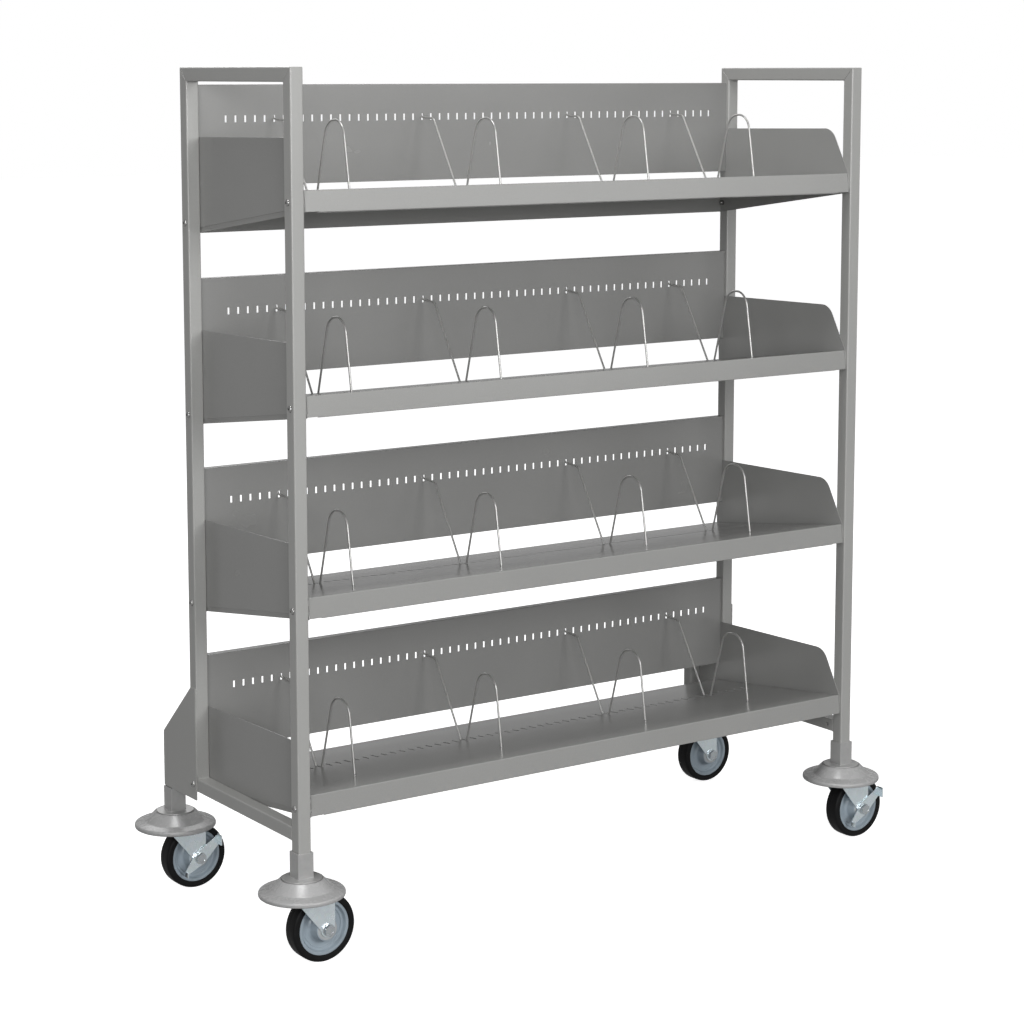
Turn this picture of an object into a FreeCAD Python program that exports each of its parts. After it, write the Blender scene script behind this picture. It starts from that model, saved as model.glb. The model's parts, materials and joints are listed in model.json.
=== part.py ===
import FreeCAD, Part
import math
import os

import Sketcher
from FreeCAD import Placement, Rotation, Vector

# Mobile medical chart rack: two welded end frames of square tube carry four sheet-metal
# shelves that tilt back, each with a slotted back panel, two end panels and wire dividers.
# It rolls on four swivel casters with ring bumpers, the rear pair on outriggers.
#
# Millimetres. X runs along the shelves, +Y to the back, +Z up. The origin is on the floor,
# in the middle of the rack's plan with the casters trailing to +X.

SIZES = [
    # end frames
    ("tube_side", 25.4, "side of the square tube"),
    ("tube_wall", 1.6, "wall of the square tube"),
    ("frame_length", 1288.0, "over the outer faces of the two end frames"),
    ("frame_depth", 404.0, "over the front and rear posts"),
    ("frame_top", 1564.0, "top of the end frames above the floor"),
    ("rail_underside", 222.0, "underside of the bottom rails above the floor"),
    ("rail_hole", 7.0, "hole in the inner face of each bottom rail"),
    ("rail_hole_offset", 16.0, "from the front post to the hole in the bottom rail"),
    # shelves
    ("sheet", 1.2, "thickness of the shelf, back and end sheets"),
    ("bottom_bolt_height", 282.0, "front bolt of the bottom shelf above the floor"),
    ("shelf_pitch", 351.5, "from one shelf to the next"),
    ("shelf_tilt", 8.0, "slope of the upper three shelves, in degrees"),
    ("bottom_shelf_tilt", 7.0, "slope of the bottom shelf, in degrees"),
    ("shelf_setback", 7.0, "from the front of the posts to the top of the lip"),
    ("shelf_run", 400.0, "front to back of a shelf along its floor"),
    ("flange_height", 38.5, "lip and flanges turned down round a shelf"),
    ("bolt_drop", 20.0, "bolts below the shelf floor, square to it"),
    ("hem_width", 12.0, "hem turned in under the lip"),
    ("hem_inset", 28.0, "hem stops this far from each end of the lip"),
    # slots that take the dividers
    ("slot_pitch", 20.2, "from one slot to the next"),
    ("slot_end_margin", 45.0, "each row keeps at least this far from both end frames"),
    ("slot_row_offset", 5.0, "middle of the slot rows to the right of the frame's middle"),
    ("wire_diameter", 4.0, "wire of the dividers"),
    ("slot_clearance", 0.8, "slot wider than the wire"),
    ("front_slot_length", 10.0, "front to back of a slot in the front row"),
    ("back_slot_height", 14.0, "height of a slot in a back panel"),
    ("hook_height", 134.0, "slot row of a back panel above the shelf's front bolt"),
    # back and end panels
    ("back_panel_face", 385.5, "front of the posts to the face of a back panel"),
    ("back_panel_bottom", 12.5, "bottom of a back panel above the shelf's front bolt"),
    ("back_panel_top", 196.5, "top of a back panel above the shelf's front bolt"),
    ("back_panel_return", 17.0, "top edge of a back panel bent back"),
    ("end_panel_front", 108.0, "top of an end panel at its front, above the bolt"),
    ("end_panel_rear", 102.0, "top of an end panel at its rear, above the bolt"),
    ("end_panel_lean", 49.0, "end panel's sloped front edge leans back this far"),
    ("end_panel_corner", 35.0, "rounded top front corner of an end panel"),
    ("flange_reveal", 9.0, "shelf flange showing below an end panel"),
    ("panel_gap", 0.3, "between an end panel and the back panel"),
    # wire dividers, along the shelf floor from the lip and up from the floor
    ("hook_bend", 345.0, "front of the posts to the bend of the hook"),
    ("hook_bend_drop", 3.0, "bend of the hook below the slot row"),
    ("hook_reach", 4.0, "hook reaches this far behind the back panel"),
    ("hook_turn", 12.0, "turned-up end of the hook"),
    ("hook_radius", 6.0, "bend of the turned-up end"),
    ("hook_bend_radius", 12.0, "bend of the hook"),
    ("loop_middle", 241.0, "middle of the double leg in a rear slot"),
    ("loop_spread", 17.0, "between the two legs in a rear slot"),
    ("loop_depth", 5.0, "wire below the floor in a rear slot"),
    ("loop_radius", 4.5, "bend of the wire in a rear slot"),
    ("arch_height", 135.0, "top of the arch above the floor"),
    ("arch_front", 115.0, "front corner of the arch"),
    ("arch_rear", 171.0, "rear corner of the arch"),
    ("arch_radius", 31.0, "corners of the arch"),
    ("leg_middle", 111.0, "foot of the front leg"),
    ("leg_depth", 7.0, "front leg ends this far below the floor"),
    # bolts of the shelves
    ("bolt_diameter", 6.0, "shelf bolts"),
    ("bolt_clearance", 0.4, "bolt holes wider than the bolts"),
    ("bolt_head_diameter", 12.0, "button head"),
    ("bolt_head_height", 3.2, "button head"),
    ("bolt_socket", 4.0, "hexagon socket across its corners"),
    ("bolt_socket_depth", 1.8, "hexagon socket"),
    ("nut_flats", 10.0, "shelf nuts across the flats"),
    ("nut_height", 5.0, "shelf nuts"),
    ("bolt_end", 1.5, "bolt past its nut"),
    ("thread_fit", 0.05, "nut to bolt, radially"),
    # outriggers of the rear casters
    ("caster_base", 486.0, "between the front and rear caster axes"),
    ("outrigger_plate", 2.5, "plate on the outer face of the rear post"),
    ("outrigger_top", 420.0, "top of the plate above the floor"),
    ("outrigger_bottom", 206.0, "bottom of the plate above the floor"),
    ("outrigger_ledge", 17.0, "level top edge of the plate"),
    ("outrigger_shoulder", 312.0, "lower end of the plate's slope above the floor"),
    ("outrigger_corner", 10.0, "rounded corner at the shoulder"),
    ("outrigger_tube_drop", 14.0, "top of the caster tube below the shoulder"),
    ("plate_inset", 1.0, "plate's front edge behind the front of the rear post"),
    # caster sockets
    ("socket_side", 31.0, "square sleeve round the tube"),
    ("socket_top", 204.0, "top of the sleeve above the floor"),
    ("socket_floor", 4.0, "closed bottom of the sleeve under the tube"),
    ("socket_fit", 0.1, "tube to sleeve, each side"),
    ("disc_diameter", 71.0, "round flange of the socket"),
    ("disc_top", 158.0, "top of the flange above the floor"),
    ("disc_thickness", 4.0, "flange of the socket"),
    ("race_diameter", 44.0, "bearing boss under the flange"),
    ("race_bottom", 141.0, "underside of the bearing boss above the floor"),
    # bumpers
    ("bumper_diameter", 154.0, "over the ring bumper"),
    ("bumper_gap", 2.0, "ring bumper to the flange"),
    ("bumper_step", 1.0, "top of the bumper below the top of the flange"),
    ("bumper_cone_width", 19.0, "sloped inner band"),
    ("bumper_cone_drop", 18.5, "sloped inner band"),
    ("bumper_brim_drop", 4.5, "flatter outer band"),
    ("bumper_rim_height", 8.0, "rim at the outside"),
    ("bumper_knee_round", 8.0, "bend between the two bands"),
    ("bumper_rim_round", 4.0, "rounded top of the rim"),
    ("bumper_foot_round", 2.5, "rounded foot of the rim"),
    ("bumper_wall", 5.0, "thickness of the bumper's skin"),
    ("bumper_seat", 4.0, "inner web clamped under the flange"),
    ("bumper_fit", 0.2, "inner web to the bearing boss"),
    # casters
    ("caster_trail", 36.0, "wheel axle behind the swivel axis"),
    ("wheel_diameter", 125.0, "over the tyre"),
    ("tyre_width", 32.0, "across the tyre"),
    ("tyre_thickness", 12.5, "rubber round the wheel"),
    ("tyre_shoulder", 6.0, "rounded edge of the tyre"),
    ("tyre_fit", 0.05, "tyre to wheel"),
    ("wheel_width", 28.0, "rim of the wheel"),
    ("rim_thickness", 6.0, "rim of the wheel"),
    ("web_thickness", 12.0, "disc of the wheel"),
    ("hub_diameter", 42.0, "hub of the wheel"),
    ("hub_width", 51.0, "hub of the wheel"),
    ("axle_diameter", 9.5, "axle bolt"),
    ("running_fit", 0.1, "moving bore to its shaft, radially"),
    ("side_play", 0.5, "between the hub and a fork leg"),
    ("fork_plate", 3.0, "thickness of the fork"),
    ("fork_crown_front", 26.0, "crown ahead of the swivel axis"),
    ("fork_crown_rear", 28.0, "crown behind the swivel axis"),
    ("fork_leg_end", 14.0, "rounded end of a leg round the axle"),
    ("fork_skirt", 18.0, "straight front edge and rear slope below the crown"),
    ("race_play", 0.5, "crown to the bearing boss and to the kingpin's head"),
    ("kingpin_diameter", 12.0, "kingpin"),
    ("kingpin_head_diameter", 20.0, "riveted head of the kingpin"),
    ("kingpin_head_height", 4.0, "riveted head of the kingpin"),
    ("kingpin_tail", 14.0, "kingpin above the socket's floor"),
    ("kingpin_fit", 0.02, "kingpin to the socket, radially"),
    ("axle_head_flats", 19.0, "axle bolt head across the flats"),
    ("axle_head_height", 7.0, "axle bolt head"),
    ("axle_nut_height", 8.0, "lock nut of the axle"),
    ("axle_end", 2.0, "axle past its nut"),
    # brake levers
    ("brake_plate", 2.5, "thickness of the lever"),
    ("brake_eye", 14.0, "radius of the lever round the axle"),
    ("brake_play", 0.3, "lever to the fork and to the bolt head"),
    ("pedal_reach", 40.0, "pedal from the axle, along"),
    ("pedal_rise", 31.0, "pedal from the axle, up"),
    ("pedal_width", 20.0, "width of the pedal arm at its end"),
    ("pedal_tread", 14.0, "foot tab turned out at the pedal"),
    ("toe_reach", 32.0, "release toe from the axle, along"),
    ("toe_drop", 27.0, "release toe from the axle, down"),
    ("toe_width", 10.0, "width of the release arm"),
    ("toe_tread", 9.0, "tab turned out at the toe"),
]

# A divider hooks into these slots, counted from the left end, or from the right where negative.
DIVIDER_SLOTS = [6, 22, -19, -6]
SHELVES = ["bottom", "lower", "upper", "top"]
BRAKED = ["front_right", "rear_left"]

doc = FreeCAD.newDocument("ChartRack")
sheet = doc.addObject("Spreadsheet::Sheet", "Sizes")
for row, (alias, number, note) in enumerate(SIZES, start=1):
    sheet.set("A%d" % row, note)
    sheet.set("B%d" % row, str(number))
    sheet.setAlias("B%d" % row, alias)
doc.recompute()


# A length or angle with the sheet formula that gives it, so that each relation between
# sizes is written once and drives both the drawing and the document.
class Size:
    def __init__(self, value, formula):
        self.value = value
        self.formula = formula

    def __add__(self, other):
        other = as_size(other)
        return Size(self.value + other.value, "(%s + %s)" % (self.formula, other.formula))

    def __sub__(self, other):
        other = as_size(other)
        return Size(self.value - other.value, "(%s - %s)" % (self.formula, other.formula))

    def __mul__(self, other):
        other = as_size(other)
        return Size(self.value * other.value, "%s * %s" % (self.formula, other.formula))

    def __truediv__(self, other):
        other = as_size(other)
        return Size(self.value / other.value, "%s / %s" % (self.formula, other.formula))

    def __neg__(self):
        return Size(-self.value, "(0 - %s)" % self.formula)


def as_size(thing):
    if isinstance(thing, Size):
        return thing
    return Size(float(thing), "(%r)" % float(thing))


def size(alias):
    return Size(float(getattr(sheet, alias)), "Sizes." + alias)


def cosine(angle):
    return Size(math.cos(math.radians(angle.value)), "cos(%s)" % angle.formula)


def sine(angle):
    return Size(math.sin(math.radians(angle.value)), "sin(%s)" % angle.formula)


def tangent(angle):
    return Size(math.tan(math.radians(angle.value)), "tan(%s)" % angle.formula)


def whole(number):
    return Size(math.floor(number.value), "floor(%s)" % number.formula)


def bind(thing, path, length):
    thing.setExpression(path, as_size(length).formula)


# Sketches and features

nodes = []


def keep(node):
    nodes.append(node)


def new_body(label):
    body = doc.addObject("PartDesign::Body", label)
    body.Label = label
    return body


def new_sketch(body, role, offset=0):
    plane = next(f for f in body.Origin.OriginFeatures if f.Role == role)
    sketch = body.newObject("Sketcher::SketchObject", body.Name + "_sketch")
    sketch.AttachmentSupport = [(plane, "")]
    sketch.MapMode = "FlatFace"
    bind(sketch, "AttachmentOffset.Base.z", offset)
    return sketch


def pin_point(sketch, geometry, end, across, up):
    for kind, length in (("DistanceX", across), ("DistanceY", up)):
        number = sketch.addConstraint(
            Sketcher.Constraint(kind, -1, 1, geometry, end, as_size(length).value))
        bind(sketch, "Constraints[%d]" % number, length)


def draw_outline(sketch, corners):
    first = sketch.GeometryCount
    spots = [Vector(as_size(a).value, as_size(b).value, 0) for a, b in corners]
    count = len(spots)
    for i in range(count):
        sketch.addGeometry(Part.LineSegment(spots[i], spots[(i + 1) % count]), False)
    for i in range(count):
        after = first + (i + 1) % count
        sketch.addConstraint(Sketcher.Constraint("Coincident", first + i, 2, after, 1))
    for i in range(count):
        pin_point(sketch, first + i, 1, *corners[i])


def draw_rectangle(sketch, left, bottom, right, top):
    draw_outline(sketch, [(left, bottom), (right, bottom), (right, top), (left, top)])


def draw_circle(sketch, across, up, diameter):
    centre = Vector(as_size(across).value, as_size(up).value, 0)
    number = sketch.addGeometry(
        Part.Circle(centre, Vector(0, 0, 1), as_size(diameter).value / 2), False)
    pin_point(sketch, number, 3, across, up)
    bound = sketch.addConstraint(
        Sketcher.Constraint("Diameter", number, as_size(diameter).value))
    bind(sketch, "Constraints[%d]" % bound, diameter)


def pad(body, sketch, length, backward=False):
    feature = body.newObject("PartDesign::Pad", body.Name + "_pad")
    feature.Profile = sketch
    feature.Reversed = backward
    bind(feature, "Length", length)
    return feature


# A pocket cuts against its sketch's normal, or along it when forward.
def pocket(body, sketch, length, forward=False):
    before = solid_volume(body)
    feature = body.newObject("PartDesign::Pocket", body.Name + "_pocket")
    feature.Profile = sketch
    feature.Reversed = forward
    bind(feature, "Length", length)
    if solid_volume(body) > before - 0.01:
        raise RuntimeError("%s: a pocket cuts nothing" % body.Label)
    return feature


def solid_volume(body):
    doc.recompute()
    return body.Shape.Volume


def revolve(body, sketch, axis):
    feature = body.newObject("PartDesign::Revolution", body.Name + "_revolution")
    feature.Profile = sketch
    feature.ReferenceAxis = (sketch, [axis])
    feature.Angle = 360
    return feature


def repeat_along(body, feature, sketch, length, count):
    pattern = body.newObject("PartDesign::LinearPattern", body.Name + "_pattern")
    pattern.Originals = [feature]
    pattern.Direction = (sketch, ["H_Axis"])
    bind(pattern, "Length", length)
    bind(pattern, "Occurrences", count)
    body.Tip = pattern
    return pattern


# Rounds the edges of the body that run along X through the given point in Y and Z.
def round_edge_along_x(body, feature, across, up, radius):
    doc.recompute()
    names = []
    for number, edge in enumerate(feature.Shape.Edges, start=1):
        ends = [v.Point for v in edge.Vertexes]
        near = all(math.hypot(p.y - across.value, p.z - up.value) < 0.01 for p in ends)
        if len(ends) == 2 and near:
            names.append("Edge%d" % number)
    fillet = body.newObject("PartDesign::Fillet", body.Name + "_fillet")
    fillet.Base = (feature, names)
    bind(fillet, "Radius", radius)
    return fillet


def move_body(body, across, back, up):
    bind(body, "Placement.Base.x", across)
    bind(body, "Placement.Base.y", back)
    bind(body, "Placement.Base.z", up)


# Places that several pieces share

tube = size("tube_side")
wall = size("tube_wall")
thin = size("sheet")
frame_top = size("frame_top")
rail_bottom = size("rail_underside")
rail_top = rail_bottom + tube

# The casters trail to +X, so the frame stands left of the middle of the plan.
frame_middle = (size("bumper_diameter") / 2 - size("caster_trail") - size("wheel_diameter") / 2) / 2
left_face = frame_middle - size("frame_length") / 2
right_face = frame_middle + size("frame_length") / 2
left_inside = left_face + tube
right_inside = right_face - tube
front_axis = -(size("caster_base") / 2)
rear_axis = size("caster_base") / 2
front_face = front_axis - tube / 2
rear_face = front_face + size("frame_depth")
rear_post_front = rear_face - tube
front_bolt_line = front_face + tube / 2
rear_bolt_line = rear_face - tube / 2
tube_foot = size("disc_top") + size("socket_floor")
bolt_hole = size("bolt_diameter") + size("bolt_clearance")
slot_width = size("wire_diameter") + size("slot_clearance")
row_end = size("slot_end_margin") + size("slot_row_offset")
slot_gaps = whole((right_inside - left_inside - row_end * 2) / size("slot_pitch"))
slot_count = slot_gaps + 1
first_slot = frame_middle + size("slot_row_offset") - size("slot_pitch") * slot_gaps / 2
bolt_line_run = size("frame_depth") - tube


# One shelf's level and slope. Its floor passes bolt_drop above both bolts, and its lip
# turns down at the front edge of the floor.
class Shelf:
    def __init__(self, number):
        self.name = SHELVES[number]
        self.tilt = size("bottom_shelf_tilt" if number == 0 else "shelf_tilt")
        self.bolt = size("bottom_bolt_height") + size("shelf_pitch") * number
        self.rear_bolt = self.bolt - bolt_line_run * tangent(self.tilt)
        self.lip = front_face + size("shelf_setback")
        above_bolt = size("bolt_drop") / cosine(self.tilt)
        ahead_of_bolt = (tube / 2 - size("shelf_setback")) * tangent(self.tilt)
        self.floor = self.bolt + above_bolt + ahead_of_bolt

    # A spot given along the floor from the lip, and up square to the floor
    def spot(self, along, up):
        along = as_size(along)
        up = as_size(up)
        back = self.lip + along * cosine(self.tilt) + up * sine(self.tilt)
        level = self.floor - along * sine(self.tilt) + up * cosine(self.tilt)
        return back, level

    # The same the other way: along the floor and up from it
    def local(self, back, level):
        behind = back - self.lip
        above = level - self.floor
        along = behind * cosine(self.tilt) - above * sine(self.tilt)
        up = behind * sine(self.tilt) + above * cosine(self.tilt)
        return along, up


shelves = [Shelf(number) for number in range(len(SHELVES))]


# End frames

# A square tube in a plane across X, hollow between the given outlines.
def tube_body(label, outer_face, outline, hollow):
    body = new_body(label)
    sketch = new_sketch(body, "YZ_Plane", outer_face)
    draw_outline(sketch, outline)
    pad(body, sketch, tube)
    sketch = new_sketch(body, "YZ_Plane", outer_face + wall)
    draw_outline(sketch, hollow)
    pocket(body, sketch, tube - wall * 2, forward=True)
    keep(body)
    return body


def drill_across(body, start, length, spots, diameter):
    sketch = new_sketch(body, "YZ_Plane", start)
    for back, up in spots:
        draw_circle(sketch, back, up, diameter)
    return pocket(body, sketch, length, forward=True)


def front_post(side, outer_face):
    shoulder = frame_top - tube
    outline = [(front_face, tube_foot), (front_face, frame_top),
               (front_face + tube, shoulder), (front_face + tube, tube_foot)]
    hollow = [(front_face + wall, tube_foot), (front_face + wall, frame_top - wall),
              (front_face + tube - wall, shoulder + wall), (front_face + tube - wall, tube_foot)]
    body = tube_body(side + "_front_post", outer_face, outline, hollow)
    spots = [(front_bolt_line, shelf.bolt) for shelf in shelves]
    drill_across(body, outer_face, tube, spots, bolt_hole)


def rear_post(side, outer_face):
    shoulder = frame_top - tube
    outline = [(rear_post_front, rail_top), (rear_post_front, shoulder),
               (rear_face, frame_top), (rear_face, rail_top)]
    hollow = [(rear_post_front + wall, rail_top), (rear_post_front + wall, shoulder + wall),
              (rear_face - wall, frame_top - wall), (rear_face - wall, rail_top)]
    body = tube_body(side + "_rear_post", outer_face, outline, hollow)
    spots = [(rear_bolt_line, shelf.rear_bolt) for shelf in shelves[1:]]
    drill_across(body, outer_face, tube, spots, bolt_hole)


def top_rail(side, outer_face):
    shoulder = frame_top - tube
    outline = [(front_face, frame_top), (rear_face, frame_top),
               (rear_post_front, shoulder), (front_face + tube, shoulder)]
    hollow = [(front_face + wall, frame_top - wall), (rear_face - wall, frame_top - wall),
              (rear_post_front + wall, shoulder + wall),
              (front_face + tube - wall, shoulder + wall)]
    tube_body(side + "_top_rail", outer_face, outline, hollow)


# The bottom rail meets the front post and runs on under the rear post, where it is closed.
# The bottom shelf's rear bolt goes through it.
def bottom_rail(side, outer_face, inner_wall):
    outline = [(front_face + tube, rail_bottom), (rear_face, rail_bottom),
               (rear_face, rail_top), (front_face + tube, rail_top)]
    hollow = [(front_face + tube, rail_bottom + wall), (rear_face - wall, rail_bottom + wall),
              (rear_face - wall, rail_top - wall), (front_face + tube, rail_top - wall)]
    body = tube_body(side + "_bottom_rail", outer_face, outline, hollow)
    drill_across(body, outer_face, tube, [(rear_bolt_line, shelves[0].rear_bolt)], bolt_hole)
    hole = (front_face + tube + size("rail_hole_offset"), rail_bottom + tube / 2)
    drill_across(body, inner_wall, wall, [hole], size("rail_hole"))


# The outrigger is a plate on the outer faces of the rear post and the bottom rail, with the
# tube of the rear caster welded to its inner face.
def outrigger(side, tube_face, plate_face):
    body = new_body(side + "_outrigger")
    plate_front = rear_post_front + size("plate_inset")
    plate_rear = rear_axis + tube / 2
    top = size("outrigger_top")
    bottom = size("outrigger_bottom")
    shoulder = size("outrigger_shoulder")
    sketch = new_sketch(body, "YZ_Plane", plate_face)
    draw_outline(sketch, [(plate_front, bottom), (plate_front, top),
                          (plate_front + size("outrigger_ledge"), top),
                          (plate_rear, shoulder), (plate_rear, bottom)])
    plate = pad(body, sketch, size("outrigger_plate"))
    round_edge_along_x(body, plate, plate_rear, shoulder, size("outrigger_corner"))
    tube_front = rear_axis - tube / 2
    tube_top = shoulder - size("outrigger_tube_drop")
    sketch = new_sketch(body, "YZ_Plane", tube_face)
    draw_rectangle(sketch, tube_front, tube_foot, plate_rear, tube_top)
    pad(body, sketch, tube)
    sketch = new_sketch(body, "YZ_Plane", tube_face + wall)
    draw_rectangle(sketch, tube_front + wall, tube_foot, plate_rear - wall, tube_top - wall)
    pocket(body, sketch, tube - wall * 2, forward=True)
    spot = (rear_bolt_line, shelves[0].rear_bolt)
    drill_across(body, plate_face, size("outrigger_plate"), [spot], bolt_hole)
    keep(body)


# Shelves

# The tray's own frame lies along its floor, with its origin at the top of the lip.
def shelf_tray(shelf):
    body = new_body(shelf.name + "_shelf")
    left = left_inside + thin
    right = right_inside - thin
    run = size("shelf_run")
    deep = size("flange_height")
    sketch = new_sketch(body, "XY_Plane", -deep)
    draw_rectangle(sketch, left, 0, right, run)
    pad(body, sketch, deep)
    sketch = new_sketch(body, "XY_Plane", -deep)
    draw_rectangle(sketch, left + thin, thin, right - thin, run - thin)
    pocket(body, sketch, deep - thin, forward=True)
    sketch = new_sketch(body, "XY_Plane", -deep)
    inset = size("hem_inset")
    draw_rectangle(sketch, left + inset, 0, right - inset, size("hem_width"))
    pad(body, sketch, thin)
    spots = [shelf.local(front_bolt_line, shelf.bolt), shelf.local(rear_bolt_line, shelf.rear_bolt)]
    drill_across(body, left, right - left, spots, bolt_hole)
    front_length = size("front_slot_length")
    front = size("leg_middle") - front_length / 2
    sketch = new_sketch(body, "XY_Plane", 0)
    for start, end in (rear_slot_ends(shelf), (front, front + front_length)):
        draw_rectangle(sketch, first_slot - slot_width / 2, start,
                       first_slot + slot_width / 2, end)
    repeat_slots(body, pocket(body, sketch, thin), sketch)
    bind(body, "Placement.Base.y", shelf.lip)
    bind(body, "Placement.Base.z", shelf.floor)
    body.Placement.Rotation = Rotation(Vector(-1, 0, 0), shelf.tilt.value)
    body.setExpression("Placement.Rotation.Angle", shelf.tilt.formula + " * 1 deg")
    keep(body)


def repeat_slots(body, slot, sketch):
    repeat_along(body, slot, sketch, size("slot_pitch") * slot_gaps, slot_count)


# A rear slot takes both legs of a divider where they lean through the floor.
def rear_slot_ends(shelf):
    depth = size("loop_depth")
    room = size("wire_diameter") / 2 + size("slot_clearance")
    fore = size("loop_middle") - size("loop_spread") / 2
    aft = size("loop_middle") + size("loop_spread") / 2
    bend, rise = shelf.local(*hook_bend(shelf))
    lean_fore = (fore - size("arch_rear")) * depth / (size("arch_height") + depth)
    lean_aft = (bend - aft) * depth / (rise + depth)
    return fore - lean_fore - room, aft + lean_aft + room


def hook_bend(shelf):
    level = shelf.bolt + size("hook_height") - size("hook_bend_drop")
    return front_face + size("hook_bend"), level


# A back panel stands between the rear posts, with its top edge bent back.
def back_panel(shelf):
    body = new_body(shelf.name + "_back_panel")
    face = front_face + size("back_panel_face")
    bottom = size("back_panel_bottom")
    top = size("back_panel_top")
    sketch = new_sketch(body, "XZ_Plane", -(face + thin))
    draw_rectangle(sketch, left_inside, bottom, right_inside, top)
    pad(body, sketch, thin)
    sketch = new_sketch(body, "XY_Plane", top - thin)
    draw_rectangle(sketch, left_inside, face, right_inside, face + size("back_panel_return"))
    pad(body, sketch, thin)
    middle = size("hook_height")
    half = size("back_slot_height") / 2
    sketch = new_sketch(body, "XZ_Plane", -face)
    draw_rectangle(sketch, first_slot - slot_width / 2, middle - half,
                   first_slot + slot_width / 2, middle + half)
    repeat_slots(body, pocket(body, sketch, thin), sketch)
    bind(body, "Placement.Base.z", shelf.bolt)
    keep(body)


# An end panel lies flat against the posts, outside the shelf's side flange. Its front edge
# slopes back from the lip, and below the back panel it reaches on to the rear.
def end_panel(shelf, side, near_face):
    body = new_body("%s_%s_end_panel" % (side, shelf.name))
    rear = front_face + size("back_panel_face") - size("panel_gap")
    step = size("back_panel_bottom") - size("panel_gap")
    below = -(size("flange_height") - size("flange_reveal"))
    lip_back, lip_level = shelf.spot(0, 0)
    foot_front = shelf.spot(0, below)
    foot_rear = shelf.spot(size("shelf_run"), below)
    floor_rear = shelf.spot(size("shelf_run"), 0)[0]
    corner_back = lip_back + size("end_panel_lean")
    outline = [(foot_front[0], foot_front[1] - shelf.bolt), (lip_back, lip_level - shelf.bolt),
               (corner_back, size("end_panel_front")), (rear, size("end_panel_rear")),
               (rear, step), (floor_rear, step), (foot_rear[0], foot_rear[1] - shelf.bolt)]
    sketch = new_sketch(body, "YZ_Plane", near_face)
    draw_outline(sketch, outline)
    plate = pad(body, sketch, thin)
    round_edge_along_x(body, plate, corner_back, size("end_panel_front"), size("end_panel_corner"))
    spots = [(front_bolt_line, 0), (rear_bolt_line, shelf.rear_bolt - shelf.bolt)]
    drill_across(body, near_face, thin, spots, bolt_hole)
    bind(body, "Placement.Base.z", shelf.bolt)
    keep(body)


# Wire dividers

# Straight runs between the corners, joined by tangent arcs of the given radii.
def bent_path(corners, radii):
    edges = []
    start = corners[0]
    for before, corner, after, radius in zip(corners, corners[1:], corners[2:], radii):
        inward = (before - corner).normalize()
        outward = (after - corner).normalize()
        half_angle = inward.getAngle(outward) / 2
        reach = radius / math.tan(half_angle)
        bisector = (inward + outward).normalize()
        centre = corner + bisector * (radius / math.sin(half_angle))
        begin = corner + inward * reach
        finish = corner + outward * reach
        edges.append(Part.LineSegment(start, begin).toShape())
        edges.append(Part.Arc(begin, centre - bisector * radius, finish).toShape())
        start = finish
    edges.append(Part.LineSegment(start, corners[-1]).toShape())
    return Part.Wire(edges)


def divider_shape(shelf):
    hook_level = shelf.bolt + size("hook_height")
    hook_end = front_face + size("back_panel_face") + thin + size("hook_reach")
    half_spread = size("loop_spread") / 2
    places = [(hook_end, hook_level + size("hook_turn")),
              (hook_end, hook_level),
              hook_bend(shelf),
              shelf.spot(size("loop_middle") + half_spread, -size("loop_depth")),
              shelf.spot(size("loop_middle") - half_spread, -size("loop_depth")),
              shelf.spot(size("arch_rear"), size("arch_height")),
              shelf.spot(size("arch_front"), size("arch_height")),
              shelf.spot(size("leg_middle"), -size("leg_depth"))]
    corners = [Vector(0, back.value, level.value) for back, level in places]
    bends = ["hook_radius", "hook_bend_radius", "loop_radius", "loop_radius",
             "arch_radius", "arch_radius"]
    path = bent_path(corners, [size(alias).value for alias in bends])
    ring = Part.Circle(corners[0], corners[1] - corners[0], size("wire_diameter").value / 2)
    return path.makePipeShell([Part.Wire(ring.toShape())], True, True)


# Each divider is one bent rod. Its path has arcs between runs at odd angles, and the sheet
# gives every corner and radius.
def shelf_dividers(shelf):
    wire = divider_shape(shelf)
    rods = []
    for number in DIVIDER_SLOTS:
        place = number - 1 if number > 0 else slot_count + number
        rod = wire.copy()
        rod.translate(Vector((first_slot + size("slot_pitch") * place).value, 0, 0))
        rods.append(rod)
    group = doc.addObject("Part::Feature", shelf.name + "_dividers")
    group.Shape = Part.Compound(rods)
    group.Label = shelf.name + "_dividers"
    keep(group)


# Fasteners, made of simple solids

HEXAGON_SIDES = 6
ALONG = {"x": Rotation(Vector(0, 1, 0), 90), "y": Rotation(Vector(-1, 0, 0), 90),
         "-x": Rotation(Vector(0, 1, 0), -90), "-y": Rotation(Vector(1, 0, 0), 90),
         "z": Rotation()}


# A primitive whose axis starts at spot and runs along the named direction
def primitive(kind, spot, direction, lengths):
    solid = doc.addObject("Part::" + kind, kind)
    for name, length in lengths.items():
        bind(solid, name, length)
    solid.Placement.Rotation = ALONG[direction]
    for letter, length in zip("xyz", spot):
        bind(solid, "Placement.Base." + letter, length)
    return solid


def cylinder(spot, direction, diameter, height):
    return primitive("Cylinder", spot, direction, {"Radius": diameter / 2, "Height": height})


def hexagon(spot, direction, corners, height):
    return primitive("Prism", spot, direction, {"Circumradius": corners / 2, "Height": height})


# Across the corners of a hexagon, from across its flats
def corners_of(flats):
    return flats / cosine(Size(180 / HEXAGON_SIDES, "(180 / %d)" % HEXAGON_SIDES))


def fuse(*solids):
    joined = doc.addObject("Part::MultiFuse", "Fuse")
    joined.Shapes = list(solids)
    return joined


def cut(base, tool):
    result = doc.addObject("Part::Cut", "Cut")
    result.Base = base
    result.Tool = tool
    return result


def group(label, solids):
    compound = doc.addObject("Part::Compound", label)
    compound.Links = solids
    compound.Label = label
    keep(compound)


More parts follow.
